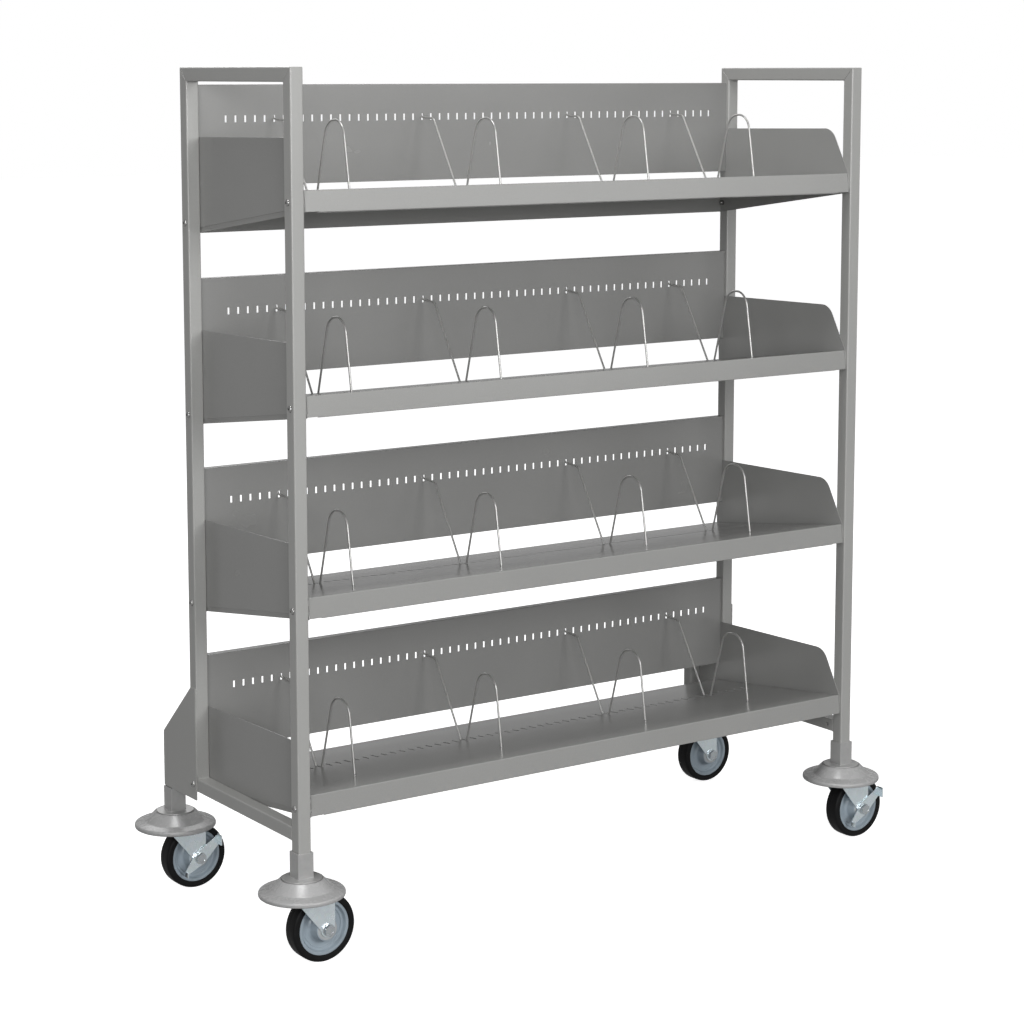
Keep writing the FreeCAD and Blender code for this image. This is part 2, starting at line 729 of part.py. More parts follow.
# A button-head bolt with a hexagon socket, from the outer face inwards. Sign is +1 on the
# left end frame and -1 on the right.
def shelf_bolt(outer_face, sign, back, level, grip):
    direction = "x" if sign > 0 else "-x"
    head_height = size("bolt_head_height")
    socket_depth = size("bolt_socket_depth")
    spot = (outer_face, back, level)
    length = grip + size("nut_height") + size("bolt_end")
    shank = cylinder(spot, direction, size("bolt_diameter"), length)
    outward = "-x" if sign > 0 else "x"
    head = primitive("Cone", spot, outward, {
        "Radius1": size("bolt_head_diameter") / 2,
        "Radius2": size("bolt_head_diameter") / 2 - head_height / 2,
        "Height": head_height})
    bed = (outer_face - (head_height - socket_depth) * sign, back, level)
    return cut(fuse(shank, head), hexagon(bed, outward, size("bolt_socket"), socket_depth))


def shelf_nut(outer_face, sign, back, level, grip):
    direction = "x" if sign > 0 else "-x"
    spot = (outer_face + grip * sign, back, level)
    bore = size("bolt_diameter") + size("thread_fit") * 2
    height = size("nut_height")
    body = hexagon(spot, direction, corners_of(size("nut_flats")), height)
    return cut(body, cylinder(spot, direction, bore, height))


def shelf_fasteners():
    bolts = []
    nuts = []
    for face, sign in ((left_face, 1), (right_face, -1)):
        for shelf in shelves:
            places = [(face, front_bolt_line, shelf.bolt, tube + thin * 2)]
            if shelf is shelves[0]:
                plate = size("outrigger_plate")
                places.append((face - plate * sign, rear_bolt_line, shelf.rear_bolt,
                               tube + thin * 2 + plate))
            else:
                places.append((face, rear_bolt_line, shelf.rear_bolt, tube + thin * 2))
            for outer, back, level, grip in places:
                bolts.append(shelf_bolt(outer, sign, back, level, grip))
                nuts.append(shelf_nut(outer, sign, back, level, grip))
    group("shelf_bolts", bolts)
    group("shelf_nuts", nuts)


# Casters, each in its own frame: the swivel axis is Z, the wheel trails to +X, and z is 0 on
# the floor.

trail = size("caster_trail")
wheel_radius = size("wheel_diameter") / 2
fork_inside = size("hub_width") / 2 + size("side_play")
fork_outside = fork_inside + size("fork_plate")
crown_top = size("race_bottom") - size("race_play")
crown_bottom = crown_top - size("fork_plate")
disc_bottom = size("disc_top") - size("disc_thickness")
lever_face = fork_outside + size("brake_play")
lever_outside = lever_face + size("brake_plate")


# Rounds the circular edges of a turned body at one radius and one distance along its axis.
def round_ring(body, feature, radius, along, axis, fillet_radius):
    doc.recompute()
    names = []
    for number, edge in enumerate(feature.Shape.Edges, start=1):
        curve = edge.Curve
        if not isinstance(curve, Part.Circle):
            continue
        if abs(curve.Radius - radius.value) < 0.01 and abs(curve.Center.dot(axis) - along.value) < 0.01:
            names.append("Edge%d" % number)
    fillet = body.newObject("PartDesign::Fillet", body.Name + "_fillet")
    fillet.Base = (feature, names)
    bind(fillet, "Radius", fillet_radius)
    return fillet


# The socket: a square sleeve over the tube's end, closed below, on a round flange with a
# bearing boss under it.
def caster_socket(name, across, back):
    body = new_body(name + "_caster_socket")
    half = size("socket_side") / 2
    disc_top = size("disc_top")
    sketch = new_sketch(body, "XY_Plane", size("race_bottom"))
    draw_circle(sketch, 0, 0, size("race_diameter"))
    pad(body, sketch, disc_bottom - size("race_bottom"))
    sketch = new_sketch(body, "XY_Plane", disc_bottom)
    draw_circle(sketch, 0, 0, size("disc_diameter"))
    pad(body, sketch, size("disc_thickness"))
    sketch = new_sketch(body, "XY_Plane", disc_top)
    draw_rectangle(sketch, -half, -half, half, half)
    pad(body, sketch, size("socket_top") - disc_top)
    room = tube / 2 + size("socket_fit")
    sketch = new_sketch(body, "XY_Plane", size("socket_top"))
    draw_rectangle(sketch, -room, -room, room, room)
    pocket(body, sketch, size("socket_top") - tube_foot)
    sketch = new_sketch(body, "XY_Plane", size("race_bottom"))
    draw_circle(sketch, 0, 0, size("kingpin_diameter") + size("kingpin_fit") * 2)
    pocket(body, sketch, tube_foot - size("race_bottom"), forward=True)
    move_body(body, across, back, 0)
    keep(body)


# The ring bumper: a web under the flange, a sloped band, a flatter band and a rounded rim.
def ring_bumper(name, across, back):
    body = new_body(name + "_bumper")
    web = size("race_diameter") / 2 + size("bumper_fit")
    inner = size("disc_diameter") / 2 + size("bumper_gap")
    knee = inner + size("bumper_cone_width")
    rim = size("bumper_diameter") / 2
    skin = size("bumper_wall")
    top = size("disc_top") - size("bumper_step")
    knee_top = top - size("bumper_cone_drop")
    rim_top = knee_top - size("bumper_brim_drop")
    foot = rim_top - size("bumper_rim_height")
    seat = disc_bottom - size("bumper_seat")
    sketch = new_sketch(body, "XZ_Plane")
    draw_outline(sketch, [
        (web, seat), (web, disc_bottom), (inner, disc_bottom), (inner, top),
        (knee, knee_top), (rim, rim_top), (rim, foot), (rim - skin, foot),
        (rim - skin, rim_top - skin), (knee, knee_top - skin), (inner, seat)])
    turned = revolve(body, sketch, "V_Axis")
    up = Vector(0, 0, 1)
    turned = round_ring(body, turned, knee, knee_top, up, size("bumper_knee_round"))
    turned = round_ring(body, turned, rim, rim_top, up, size("bumper_rim_round"))
    round_ring(body, turned, rim, foot, up, size("bumper_foot_round"))
    move_body(body, across, back, 0)
    keep(body)


# The fork: a crown under the bearing boss and two legs that narrow to the axle.
def caster_fork(name, across, back):
    body = new_body(name + "_fork")
    front = -size("fork_crown_front")
    rear = size("fork_crown_rear")
    reach = size("fork_leg_end")
    sketch = new_sketch(body, "XZ_Plane", -fork_outside)
    skirt = crown_top - size("fork_skirt")
    draw_outline(sketch, [(front, skirt), (trail - reach, wheel_radius),
                          (trail + reach, wheel_radius), (trail + reach, skirt),
                          (rear, crown_top), (front, crown_top)])
    pad(body, sketch, fork_outside * 2)
    sketch = new_sketch(body, "XZ_Plane", -fork_outside)
    draw_circle(sketch, trail, wheel_radius, reach * 2)
    pad(body, sketch, fork_outside * 2)
    sketch = new_sketch(body, "YZ_Plane", front)
    draw_rectangle(sketch, -fork_inside, 0, fork_inside, crown_bottom)
    pocket(body, sketch, trail + reach - front, forward=True)
    sketch = new_sketch(body, "XY_Plane", crown_top)
    draw_circle(sketch, 0, 0, size("kingpin_diameter") + size("running_fit") * 2)
    pocket(body, sketch, size("fork_plate"))
    sketch = new_sketch(body, "XZ_Plane", -fork_outside)
    draw_circle(sketch, trail, wheel_radius, size("axle_diameter") + size("thread_fit") * 2)
    pocket(body, sketch, fork_outside * 2, forward=True)
    move_body(body, across, back, 0)
    keep(body)


# The wheel's own frame is at its middle, with the axle along Y.
def wheel_core(name, across, back):
    body = new_body(name + "_wheel")
    bore = size("axle_diameter") / 2 + size("running_fit")
    hub = size("hub_diameter") / 2
    rim = wheel_radius - size("tyre_thickness") - size("tyre_fit")
    well = rim - size("rim_thickness")
    sketch = new_sketch(body, "YZ_Plane")
    hub_half = size("hub_width") / 2
    web_half = size("web_thickness") / 2
    rim_half = size("wheel_width") / 2
    right_half = [(hub_half, bore), (hub_half, hub), (web_half, hub), (web_half, well),
                  (rim_half, well), (rim_half, rim)]
    left_half = [(-along, radius) for along, radius in reversed(right_half)]
    draw_outline(sketch, right_half + left_half)
    revolve(body, sketch, "H_Axis")
    move_body(body, across + trail, back, wheel_radius)
    keep(body)


def tyre(name, across, back):
    body = new_body(name + "_tyre")
    half = size("tyre_width") / 2
    inner = wheel_radius - size("tyre_thickness")
    sketch = new_sketch(body, "YZ_Plane")
    draw_rectangle(sketch, -half, inner, half, wheel_radius)
    turned = revolve(body, sketch, "H_Axis")
    along = Vector(0, 1, 0)
    shoulder = size("tyre_shoulder")
    turned = round_ring(body, turned, wheel_radius, half, along, shoulder)
    round_ring(body, turned, wheel_radius, -half, along, shoulder)
    move_body(body, across + trail, back, wheel_radius)
    keep(body)


# The axle: a bolt with its head to the front and a lock nut at the back.
def axle(name, across, back):
    head_face = lever_outside + size("brake_play") if name in BRAKED else fork_outside
    height = size("axle_head_height")
    flats = size("axle_head_flats")
    axle_x = across + trail
    nut_height = size("axle_nut_height")
    nut_end = fork_outside + nut_height
    shank = cylinder((axle_x, back - head_face, wheel_radius), "y", size("axle_diameter"),
                     head_face + nut_end + size("axle_end"))
    head = hexagon((axle_x, back - head_face, wheel_radius), "-y", corners_of(flats), height)
    nut_spot = (axle_x, back + fork_outside, wheel_radius)
    bore = size("axle_diameter") + size("thread_fit") * 2
    nut = cut(hexagon(nut_spot, "y", corners_of(flats), nut_height),
              cylinder(nut_spot, "y", bore, nut_height))
    group(name + "_axle", [fuse(shank, head), nut])


# The brake lever sits on the axle outside the fork: a pedal up at the rear and a release toe
# down at the front, each with a tab turned out.
def brake_lever(name, across, back):
    body = new_body(name + "_brake_lever")
    pedal = (trail + size("pedal_reach"), wheel_radius + size("pedal_rise"))
    toe = (trail - size("toe_reach"), wheel_radius - size("toe_drop"))
    plate = size("brake_plate")
    sketch = new_sketch(body, "XZ_Plane", lever_face)
    draw_circle(sketch, trail, wheel_radius, size("brake_eye") * 2)
    pad(body, sketch, plate)
    for tip, width, sign in ((pedal, size("pedal_width"), 1), (toe, size("toe_width"), -1)):
        half = width / 2
        sketch = new_sketch(body, "XZ_Plane", lever_face)
        draw_outline(sketch, [(trail, wheel_radius - half), (tip[0], tip[1] - half),
                              (tip[0], tip[1] + half), (trail, wheel_radius + half)])
        pad(body, sketch, plate)
        tread = size("pedal_tread") if sign > 0 else size("toe_tread")
        sketch = new_sketch(body, "XZ_Plane", lever_face)
        draw_rectangle(sketch, tip[0] - plate * sign, tip[1] - half, tip[0], tip[1] + half)
        pad(body, sketch, plate + tread)
    sketch = new_sketch(body, "XZ_Plane", lever_face)
    draw_circle(sketch, trail, wheel_radius, size("axle_diameter") + size("running_fit") * 2)
    pocket(body, sketch, plate, forward=True)
    move_body(body, across, back, 0)
    keep(body)


# A kingpin: its riveted head is under the fork's crown, and its tail ends inside the tube.
def kingpin(across, back):
    head_top = crown_bottom - size("race_play")
    foot = head_top - size("kingpin_head_height")
    shank = cylinder((across, back, foot), "z", size("kingpin_diameter"),
                     tube_foot + size("kingpin_tail") - foot)
    head = cylinder((across, back, foot), "z", size("kingpin_head_diameter"),
                    size("kingpin_head_height"))
    return fuse(shank, head)


for side, near in (("left", left_face), ("right", right_inside)):
    front_post(side, near)
    rear_post(side, near)
    top_rail(side, near)
bottom_rail("left", left_face, left_inside - wall)
bottom_rail("right", right_inside, right_inside)
outrigger("left", left_face, left_face - size("outrigger_plate"))
outrigger("right", right_inside, right_face)

for shelf in shelves:
    shelf_tray(shelf)
    back_panel(shelf)
    end_panel(shelf, "left", left_inside)
    end_panel(shelf, "right", right_inside - thin)
    shelf_dividers(shelf)
shelf_fasteners()

corners = {"front_left": (left_face + tube / 2, front_axis),
           "front_right": (right_face - tube / 2, front_axis),
           "rear_left": (left_face + tube / 2, rear_axis),
           "rear_right": (right_face - tube / 2, rear_axis)}
for name, place in corners.items():
    for make in (caster_socket, ring_bumper, caster_fork, axle, wheel_core, tyre):
        make(name, *place)
for name in BRAKED:
    brake_lever(name, *corners[name])
group("kingpins", [kingpin(*place) for place in corners.values()])

doc.recompute()
for thing in doc.Objects:
    if "Invalid" in thing.State or "Error" in thing.State:
        raise RuntimeError("%s (%s) did not compute" % (thing.Name, thing.Label))
for node in nodes:
    if node.Shape.isNull() or not node.Shape.isValid():
        raise RuntimeError("%s has no valid shape" % node.Label)
os.makedirs("parts", exist_ok=True)
for node in nodes:
    node.Shape.exportStep("parts/%s.step" % node.Label)
print("%d nodes, %d solids" % (len(nodes), sum(len(node.Shape.Solids) for node in nodes)))
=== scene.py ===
import json
import math

import bmesh
import bpy
from mathutils import Matrix, Vector


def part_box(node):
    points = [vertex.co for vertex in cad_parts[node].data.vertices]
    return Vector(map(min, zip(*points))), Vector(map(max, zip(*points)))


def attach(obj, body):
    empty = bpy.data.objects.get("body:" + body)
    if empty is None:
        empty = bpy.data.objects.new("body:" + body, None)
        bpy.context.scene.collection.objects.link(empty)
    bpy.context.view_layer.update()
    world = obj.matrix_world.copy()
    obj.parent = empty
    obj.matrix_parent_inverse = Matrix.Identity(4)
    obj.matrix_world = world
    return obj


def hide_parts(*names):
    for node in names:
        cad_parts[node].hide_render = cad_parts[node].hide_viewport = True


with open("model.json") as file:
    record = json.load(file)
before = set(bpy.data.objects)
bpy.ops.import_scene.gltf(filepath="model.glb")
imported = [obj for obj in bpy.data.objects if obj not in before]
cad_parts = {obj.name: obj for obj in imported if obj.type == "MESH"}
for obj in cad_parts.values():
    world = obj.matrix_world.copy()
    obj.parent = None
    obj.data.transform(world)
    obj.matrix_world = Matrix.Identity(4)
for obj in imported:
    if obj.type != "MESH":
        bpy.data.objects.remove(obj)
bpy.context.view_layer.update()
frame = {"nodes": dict(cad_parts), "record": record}  # bodies, nodes, joints, record
nodes = frame["nodes"]
bodyOf = {}
for body, members in frame["record"]["behaviour"]["bodies"].items():
    for node in members:
        bodyOf[node] = body
mm = 0.001
sides = ["left", "right"]
shelves = ["bottom", "lower", "upper", "top"]
corners = ["front_left", "front_right", "rear_left", "rear_right"]
braked = ["front_right", "rear_left"]
print("frame loaded:", len(nodes), "nodes")


# Materials; the sizes of blotches, grains and bumps are in millimetres

def startMaterial(name):
    material = bpy.data.materials.new(name)
    material.use_nodes = True
    tree = material.node_tree
    place = tree.nodes.new("ShaderNodeTexCoord")
    return material, tree, tree.nodes["Principled BSDF"], place.outputs["Object"]


def feed(tree, node, given):
    # links sockets to the node's inputs, or sets fixed values and colours on them
    for label, value in given.items():
        if isinstance(value, bpy.types.NodeSocket):
            tree.links.new(value, node.inputs[label])
        elif isinstance(value, tuple):
            node.inputs[label].default_value = (*value, 1)
        else:
            node.inputs[label].default_value = value
    return node


def addNode(tree, kind, given):
    return feed(tree, tree.nodes.new(kind), given)


def addNoise(tree, place, size, detail):
    return addNode(tree, "ShaderNodeTexNoise", {
        "Vector": place, "Scale": 1 / mm / size, "Detail": detail}).outputs["Fac"]


def spread(tree, value, low, high, start=0.2, end=0.8):
    # turns a value between start and end, where most of a noise lies, into a range
    return addNode(tree, "ShaderNodeMapRange", {
        "Value": value, "From Min": start, "From Max": end,
        "To Min": low, "To Max": high}).outputs["Result"]


def addMix(tree, share, first, second, kind="RGBA", blend="MIX"):
    mix = tree.nodes.new("ShaderNodeMix")
    mix.data_type = kind
    mix.blend_type = blend
    return feed(tree, mix, {"Factor": share, "A": first, "B": second}).outputs["Result"]


def addMath(tree, operation, first, second):
    node = tree.nodes.new("ShaderNodeMath")
    node.operation = operation
    return feed(tree, node, {0: first, 1: second}).outputs["Value"]


def cloudyTone(tree, place, colour, size, below, above):
    # the colour in soft blotches, darker and lighter by these shares, and the noise behind them
    cloud = addNoise(tree, place, size, 3)
    darker = tuple(channel * (1 - below) for channel in colour)
    lighter = tuple(channel * (1 + above) for channel in colour)
    return cloud, addMix(tree, spread(tree, cloud, 0, 1), darker, lighter)


def roughen(tree, shader, value, middle, smoother, rougher):
    feed(tree, shader, {"Roughness": spread(tree, value, middle - smoother, middle + rougher)})


def addBump(tree, shader, height, depth):
    bump = addNode(tree, "ShaderNodeBump", {
        "Height": height, "Distance": depth * mm, "Strength": 1})
    feed(tree, shader, {"Normal": bump.outputs["Normal"]})


spray = {"mottle": 0.03, "sparkle": 0.9, "dull": (0.93, 0.93, 0.93), "bright": (1.06, 1.06, 1.07),
         "peel": 1.6, "peelDepth": 0.05, "coatRoughness": 0.12}


def powderCoat(name, look):
    # sprayed metallic paint: cloudy tone, fine sparkle, orange peel
    material, tree, shader, place = startMaterial(name)
    mottle = spray["mottle"]
    tone = cloudyTone(tree, place, look["colour"], look["cloud"], mottle, mottle)[1]
    sparkle = spread(tree, addNoise(tree, place, spray["sparkle"], 1), 0, 1)
    glint = addMix(tree, sparkle, spray["dull"], spray["bright"])
    feed(tree, shader, {
        "Base Color": addMix(tree, 1, tone, glint, blend="MULTIPLY"),
        "Metallic": look["metallic"], "Specular IOR Level": look["specular"],
        "Coat Weight": look["coat"], "Coat Roughness": spray["coatRoughness"]})
    smear = addNoise(tree, place, look["cloud"] * 0.45, 2)
    roughen(tree, shader, smear, look["roughness"], 0.012, 0.016)
    addBump(tree, shader, addNoise(tree, place, spray["peel"], 1.5), spray["peelDepth"])
    return material


def platedMetal(name, look):
    # zinc plating: faint crystal patches, rolling marks, stains in the roughness
    material, tree, shader, place = startMaterial(name)
    patches = addNode(tree, "ShaderNodeTexVoronoi", {
        "Vector": place, "Scale": 1 / mm / look["patch"]})
    mottle, tone = cloudyTone(tree, place, look["colour"], look["patch"] * 2.5, 0.06, 0.04)
    shine = addMix(tree, look["crystals"], tone, patches.outputs["Color"], blend="MULTIPLY")
    grey = addNode(tree, "ShaderNodeHueSaturation", {
        "Color": shine, "Saturation": look["saturation"]})
    feed(tree, shader, {"Base Color": grey.outputs["Color"], "Metallic": look["metallic"]})
    roughen(tree, shader, mottle, look["roughness"], 0.03, 0.05)
    addBump(tree, shader, addNoise(tree, place, look["mark"], 2), look["markDepth"])
    return material


def mouldedPlastic(name, look):
    # moulded skin: soft mottling, scuffs, fine grain
    material, tree, shader, place = startMaterial(name)
    tone = cloudyTone(tree, place, look["colour"], look["cloud"], look["mottle"], look["mottle"])[1]
    feed(tree, shader, {"Base Color": tone, "Specular IOR Level": look["specular"]})
    scuff = addNoise(tree, place, look["cloud"] * 0.3, 4)
    roughen(tree, shader, scuff, look["roughness"], 0.015, 0.02)
    addBump(tree, shader, addNoise(tree, place, look["grain"], 2), look["grainDepth"])
    return material


framePaint = powderCoat("frame_paint", {
    "colour": (0.395, 0.395, 0.382), "metallic": 0.06, "roughness": 0.33, "specular": 0.4,
    "coat": 0.3, "cloud": 140})
shelfPaint = powderCoat("shelf_paint", {
    "colour": (0.325, 0.325, 0.315), "metallic": 0.05, "roughness": 0.22, "specular": 0.4,
    "coat": 0.12, "cloud": 170})
# back panels' copy of the sheet paint, darker than the end panels' copy: painted shade
shadedPanelPaint = powderCoat("panel_paint", {
    "colour": (0.27, 0.27, 0.263), "metallic": 0.12, "roughness": 0.26, "specular": 0.45,
    "coat": 0.05, "cloud": 170})
# end panels' copy of the same sheet paint, lighter than the back panels' copy: painted light
litPanelPaint = powderCoat("end_sheet_tone_painted_light", {
    "colour": (0.325, 0.325, 0.316), "metallic": 0.12, "roughness": 0.26, "specular": 0.45,
    "coat": 0.05, "cloud": 170})
wireZinc = platedMetal("divider_wire", {
    "colour": (0.48, 0.475, 0.45), "saturation": 0.4, "metallic": 0.6, "roughness": 0.34,
    "patch": 3.0, "crystals": 0.10, "mark": 1.4, "markDepth": 0.006})
boltZinc = platedMetal("bolt_steel", {
    "colour": (0.36, 0.355, 0.34), "saturation": 0.4, "metallic": 1.0, "roughness": 0.2,
    "patch": 1.5, "crystals": 0.12, "mark": 0.6, "markDepth": 0.02})
socketSteel = platedMetal("socket_steel", {
    "colour": (0.44, 0.44, 0.43), "saturation": 0.4, "metallic": 0.35, "roughness": 0.34,
    "patch": 5.0, "crystals": 0.04, "mark": 1.5, "markDepth": 0.012})
axleSteel = platedMetal("axle_steel", {
    "colour": (0.60, 0.65, 0.68), "saturation": 0.8, "metallic": 1.0, "roughness": 0.17,
    "patch": 2.0, "crystals": 0.08, "mark": 0.8, "markDepth": 0.015})
casterZinc = platedMetal("caster_zinc", {
    "colour": (0.82, 0.91, 0.95), "saturation": 0.95, "metallic": 0.88, "roughness": 0.24,
    "patch": 6.0, "crystals": 0.04, "mark": 1.3, "markDepth": 0.012})
bumperVinyl = mouldedPlastic("bumper_vinyl", {
    "colour": (0.405, 0.405, 0.405), "mottle": 0.02, "cloud": 40, "roughness": 0.27,
    "specular": 0.5, "grain": 1.1, "grainDepth": 0.02})
wheelNylon = mouldedPlastic("wheel_nylon", {
    "colour": (0.33, 0.39, 0.44), "mottle": 0.07, "cloud": 22, "roughness": 0.33,
    "specular": 0.5, "grain": 0.9, "grainDepth": 0.04})
capPlastic = mouldedPlastic("bearing_cap", {
    "colour": (0.44, 0.46, 0.47), "mottle": 0.06, "cloud": 9, "roughness": 0.45,
    "specular": 0.5, "grain": 0.7, "grainDepth": 0.02})
tyreRubber = mouldedPlastic("tyre_rubber", {
    "colour": (0.008, 0.008, 0.0085), "mottle": 0.35, "cloud": 16, "roughness": 0.5,
    "specular": 0.12, "grain": 0.8, "grainDepth": 0.05})
print("materials made")


# Pieces

def boxOf(node):
    # lowest and highest corner of a node in mm
    low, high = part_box(node)
    return low / mm, high / mm


def addObject(name, data):
    thing = bpy.data.objects.new(name, data)
    bpy.context.scene.collection.objects.link(thing)
    return thing


def showPiece(mesh, name, body, material, replaced=()):
    mesh.materials.clear()
    mesh.materials.append(material)
    piece = addObject(name, mesh)
    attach(piece, body)
    if replaced:
        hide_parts(*replaced)
    return piece


def evenOut(piece):
    # keeps flat faces flat next to their rounded edges
    even = piece.modifiers.new("flat faces", "WEIGHTED_NORMAL")
    even.keep_sharp = True


def keepMesh(shape, name):
    # ends a shape as a mesh with smooth faces
    for face in shape.faces:
        face.smooth = True
    mesh = bpy.data.meshes.new(name)
    shape.to_mesh(mesh)
    shape.free()
    return mesh


def endShape(shape, name, sharp=32):
    # faces outwards, with edges over an angle in degrees kept sharp
    bmesh.ops.recalc_face_normals(shape, faces=shape.faces)
    mesh = keepMesh(shape, name)
    mesh.set_sharp_from_angle(angle=math.radians(sharp))
    return mesh


def dressNode(shape, node, ending, material):
    # the shape stands for the node
    name = node + ending
    evenOut(showPiece(endShape(shape, name), name, bodyOf[node], material, [node]))


def mergedShape(node):
    # the node's triangles, joined where they meet
    shape = bmesh.new()
    shape.from_mesh(nodes[node].data)
    bmesh.ops.remove_doubles(shape, verts=shape.verts, dist=0.00001)
    return shape


def roundedCopy(node, material, radius, segments):
    # the node itself, with its edges rounded
    shape = mergedShape(node)
    bmesh.ops.dissolve_limit(shape, angle_limit=math.radians(0.4), verts=shape.verts,
                             edges=shape.edges)
    weights = shape.edges.layers.float.new("bevel_weight_edge")
    for edge in shape.edges:
        if len(edge.link_faces) == 2 and edge.calc_face_angle(0) >= math.radians(25):
            edge[weights] = 1
    name = node + "_finish"
    piece = showPiece(keepMesh(shape, name), name, bodyOf[node], material, [node])
    rounding = piece.modifiers.new("rounded edges", "BEVEL")
    rounding.width = radius * mm
    rounding.segments = segments
    rounding.limit_method = "WEIGHT"
    rounding.use_clamp_overlap = False
    rounding.harden_normals = True
    evenOut(piece)


def islands(node):
    # boxes of the separate solids of one node, in mm
    shape = mergedShape(node)
    left = set(shape.verts)
    boxes = []
    while left:
        stack = [left.pop()]
        found = [stack[0]]
        while stack:
            for edge in stack.pop().link_edges:
                for corner in edge.verts:
                    if corner in left:
                        left.discard(corner)
                        found.append(corner)
                        stack.append(corner)
        low = Vector([min(corner.co[k] for corner in found) for k in range(3)]) / mm
        high = Vector([max(corner.co[k] for corner in found) for k in range(3)]) / mm
        boxes.append((low, high))
    shape.free()
    return boxes


# Outlines, skins and turned shapes; all points are in mm

def roundedLoop(points, radii):
    # closed outline with its corners rounded by arcs
    loop = []
    count = len(points)
    for k, (corner, radius) in enumerate(zip(points, radii)):
        corner = Vector(corner)
        before = Vector(points[k - 1]) - corner
        after = Vector(points[(k + 1) % count]) - corner
        if radius == 0:
            loop.append(corner)
            continue
        angle = before.angle(after)
        reach = min(radius / math.tan(angle / 2), before.length * 0.49, after.length * 0.49)
        radius = reach * math.tan(angle / 2)
        before, after = before.normalized(), after.normalized()
        centre = corner + (before + after).normalized() * (radius / math.sin(angle / 2))
        start = corner + before * reach - centre
        end = corner + after * reach - centre
        steps = min(max(3, int(radius * (math.pi - angle) / 0.9) + 1), 14)
        for n in range(steps + 1):
            loop.append(centre + start.lerp(end, n / steps).normalized() * radius)
    return loop


def offsetLoop(loop, distance):
    # moves a closed outline inwards; the loop runs counter-clockwise
    loop = [Vector(point) for point in loop]
    moved = []
    for k, point in enumerate(loop):
        before = (point - loop[k - 1]).normalized()
        after = (loop[(k + 1) % len(loop)] - point).normalized()
        inward = Vector((-before.y - after.y, before.x + after.x))
        if inward.length < 1e-6:
            inward = Vector((-after.y, after.x))
        inward.normalize()
        lean = max(0.35, inward.dot(Vector((-after.y, after.x))))
        moved.append(point + inward * (distance / lean))
    return moved


def cleanLoop(loop):
    # drops points that fall together, and runs the loop counter-clockwise
    loop = [p for k, p in enumerate(loop) if (Vector(p) - Vector(loop[k - 1])).length > 0.02]
    area = sum(a[0] * b[1] - b[0] * a[1] for a, b in zip(loop, loop[1:] + loop[:1]))
    return loop if area > 0 else list(reversed(loop))


def bridge(shape, rows, skip=None):
    # joins each ring of corners to the next; skip(k, n) leaves one face open
    count = len(rows[0])
    for k in range(len(rows) - 1):
        for n in range(count):
            if skip and skip(k, n):
                continue
            m = (n + 1) % count
            shape.faces.new((rows[k][n], rows[k][m], rows[k + 1][m], rows[k + 1][n]))


def loft(shape, rings, skip=None):
    # joins rings of points into a closed skin
    rows = [[shape.verts.new(Vector(point) * mm) for point in ring] for ring in rings]
    bridge(shape, rows, skip)
    shape.faces.new(list(reversed(rows[0])))
    shape.faces.new(rows[-1])
    return rows


def plateRings(outline, x0, x1, rim):
    # a flat plate across X, its edge rounded a little
    loop = cleanLoop(outline)
    inset = offsetLoop(loop, rim)
    half = offsetLoop(loop, rim * 0.3)
    steps = [(inset, x0), (half, x0 + rim * 0.3), (loop, x0 + rim),
             (loop, x1 - rim), (half, x1 - rim * 0.3), (inset, x1)]
    return [[(x, point[0], point[1]) for point in ring] for ring, x in steps]


def lathe(name, section, centre, axis, segments):
    # turns an outline round an axis; each point has a radius, a height and a corner radius
    outline = roundedLoop([point[:2] for point in section], [point[2] for point in section])
    shape = bmesh.new()
    turn = axis.to_track_quat("Z", "Y").to_matrix()
    rings = []
    for k in range(segments):
        angle = 2 * math.pi * k / segments
        spots = [Vector((radius * math.cos(angle), radius * math.sin(angle), height)) * mm
                 for radius, height in outline]
        rings.append([shape.verts.new(centre * mm + turn @ spot) for spot in spots])
    bridge(shape, rings + rings[:1])
    bmesh.ops.remove_doubles(shape, verts=shape.verts, dist=0.000001)
    return endShape(shape, name, 38)


def hexRadius(corner, angle):
    # distance to the side of a hexagon at an angle
    sixth = math.pi / 3
    return corner * math.cos(sixth / 2) / math.cos((angle + sixth / 2) % sixth - sixth / 2)


def stackedLoops(name, loops, segments):
    # closes a stack of loops; each has a radius, or a function from angle to radius, and a height
    shape = bmesh.new()
    turns = [2 * math.pi * k / segments for k in range(segments)]
    rings = []
    for radiusAt, height in loops:
        radii = [radiusAt(turn) if callable(radiusAt) else radiusAt for turn in turns]
        rings.append([(radius * math.cos(turn), radius * math.sin(turn), height)
                      for radius, turn in zip(radii, turns)])
    loft(shape, rings)
    return endShape(shape, name, 35)


# Geometry Nodes trees

def startTree(name, inputs):
    tree = bpy.data.node_groups.new(name, "GeometryNodeTree")
    for way in ("INPUT", "OUTPUT"):
        tree.interface.new_socket("Geometry", in_out=way, socket_type="NodeSocketGeometry")
    tree.interface.new_socket("Material", in_out="INPUT", socket_type="NodeSocketMaterial")
    for label, kind, value in inputs:
        socket = tree.interface.new_socket(label, in_out="INPUT", socket_type="NodeSocket" + kind)
        if value is not None:
            socket.default_value = value
    return tree, tree.nodes.new("NodeGroupInput").outputs


def endTree(tree, given, shape):
    # real geometry, smooth and in its material
    realize = addNode(tree, "GeometryNodeRealizeInstances", {"Geometry": shape})
    smooth = addNode(tree, "GeometryNodeSetShadeSmooth", {
        "Geometry": realize.outputs["Geometry"]})
    paint = addNode(tree, "GeometryNodeSetMaterial", {
        "Geometry": smooth.outputs["Geometry"], "Material": given["Material"]})
    addNode(tree, "NodeGroupOutput", {"Geometry": paint.outputs["Geometry"]})
    return tree


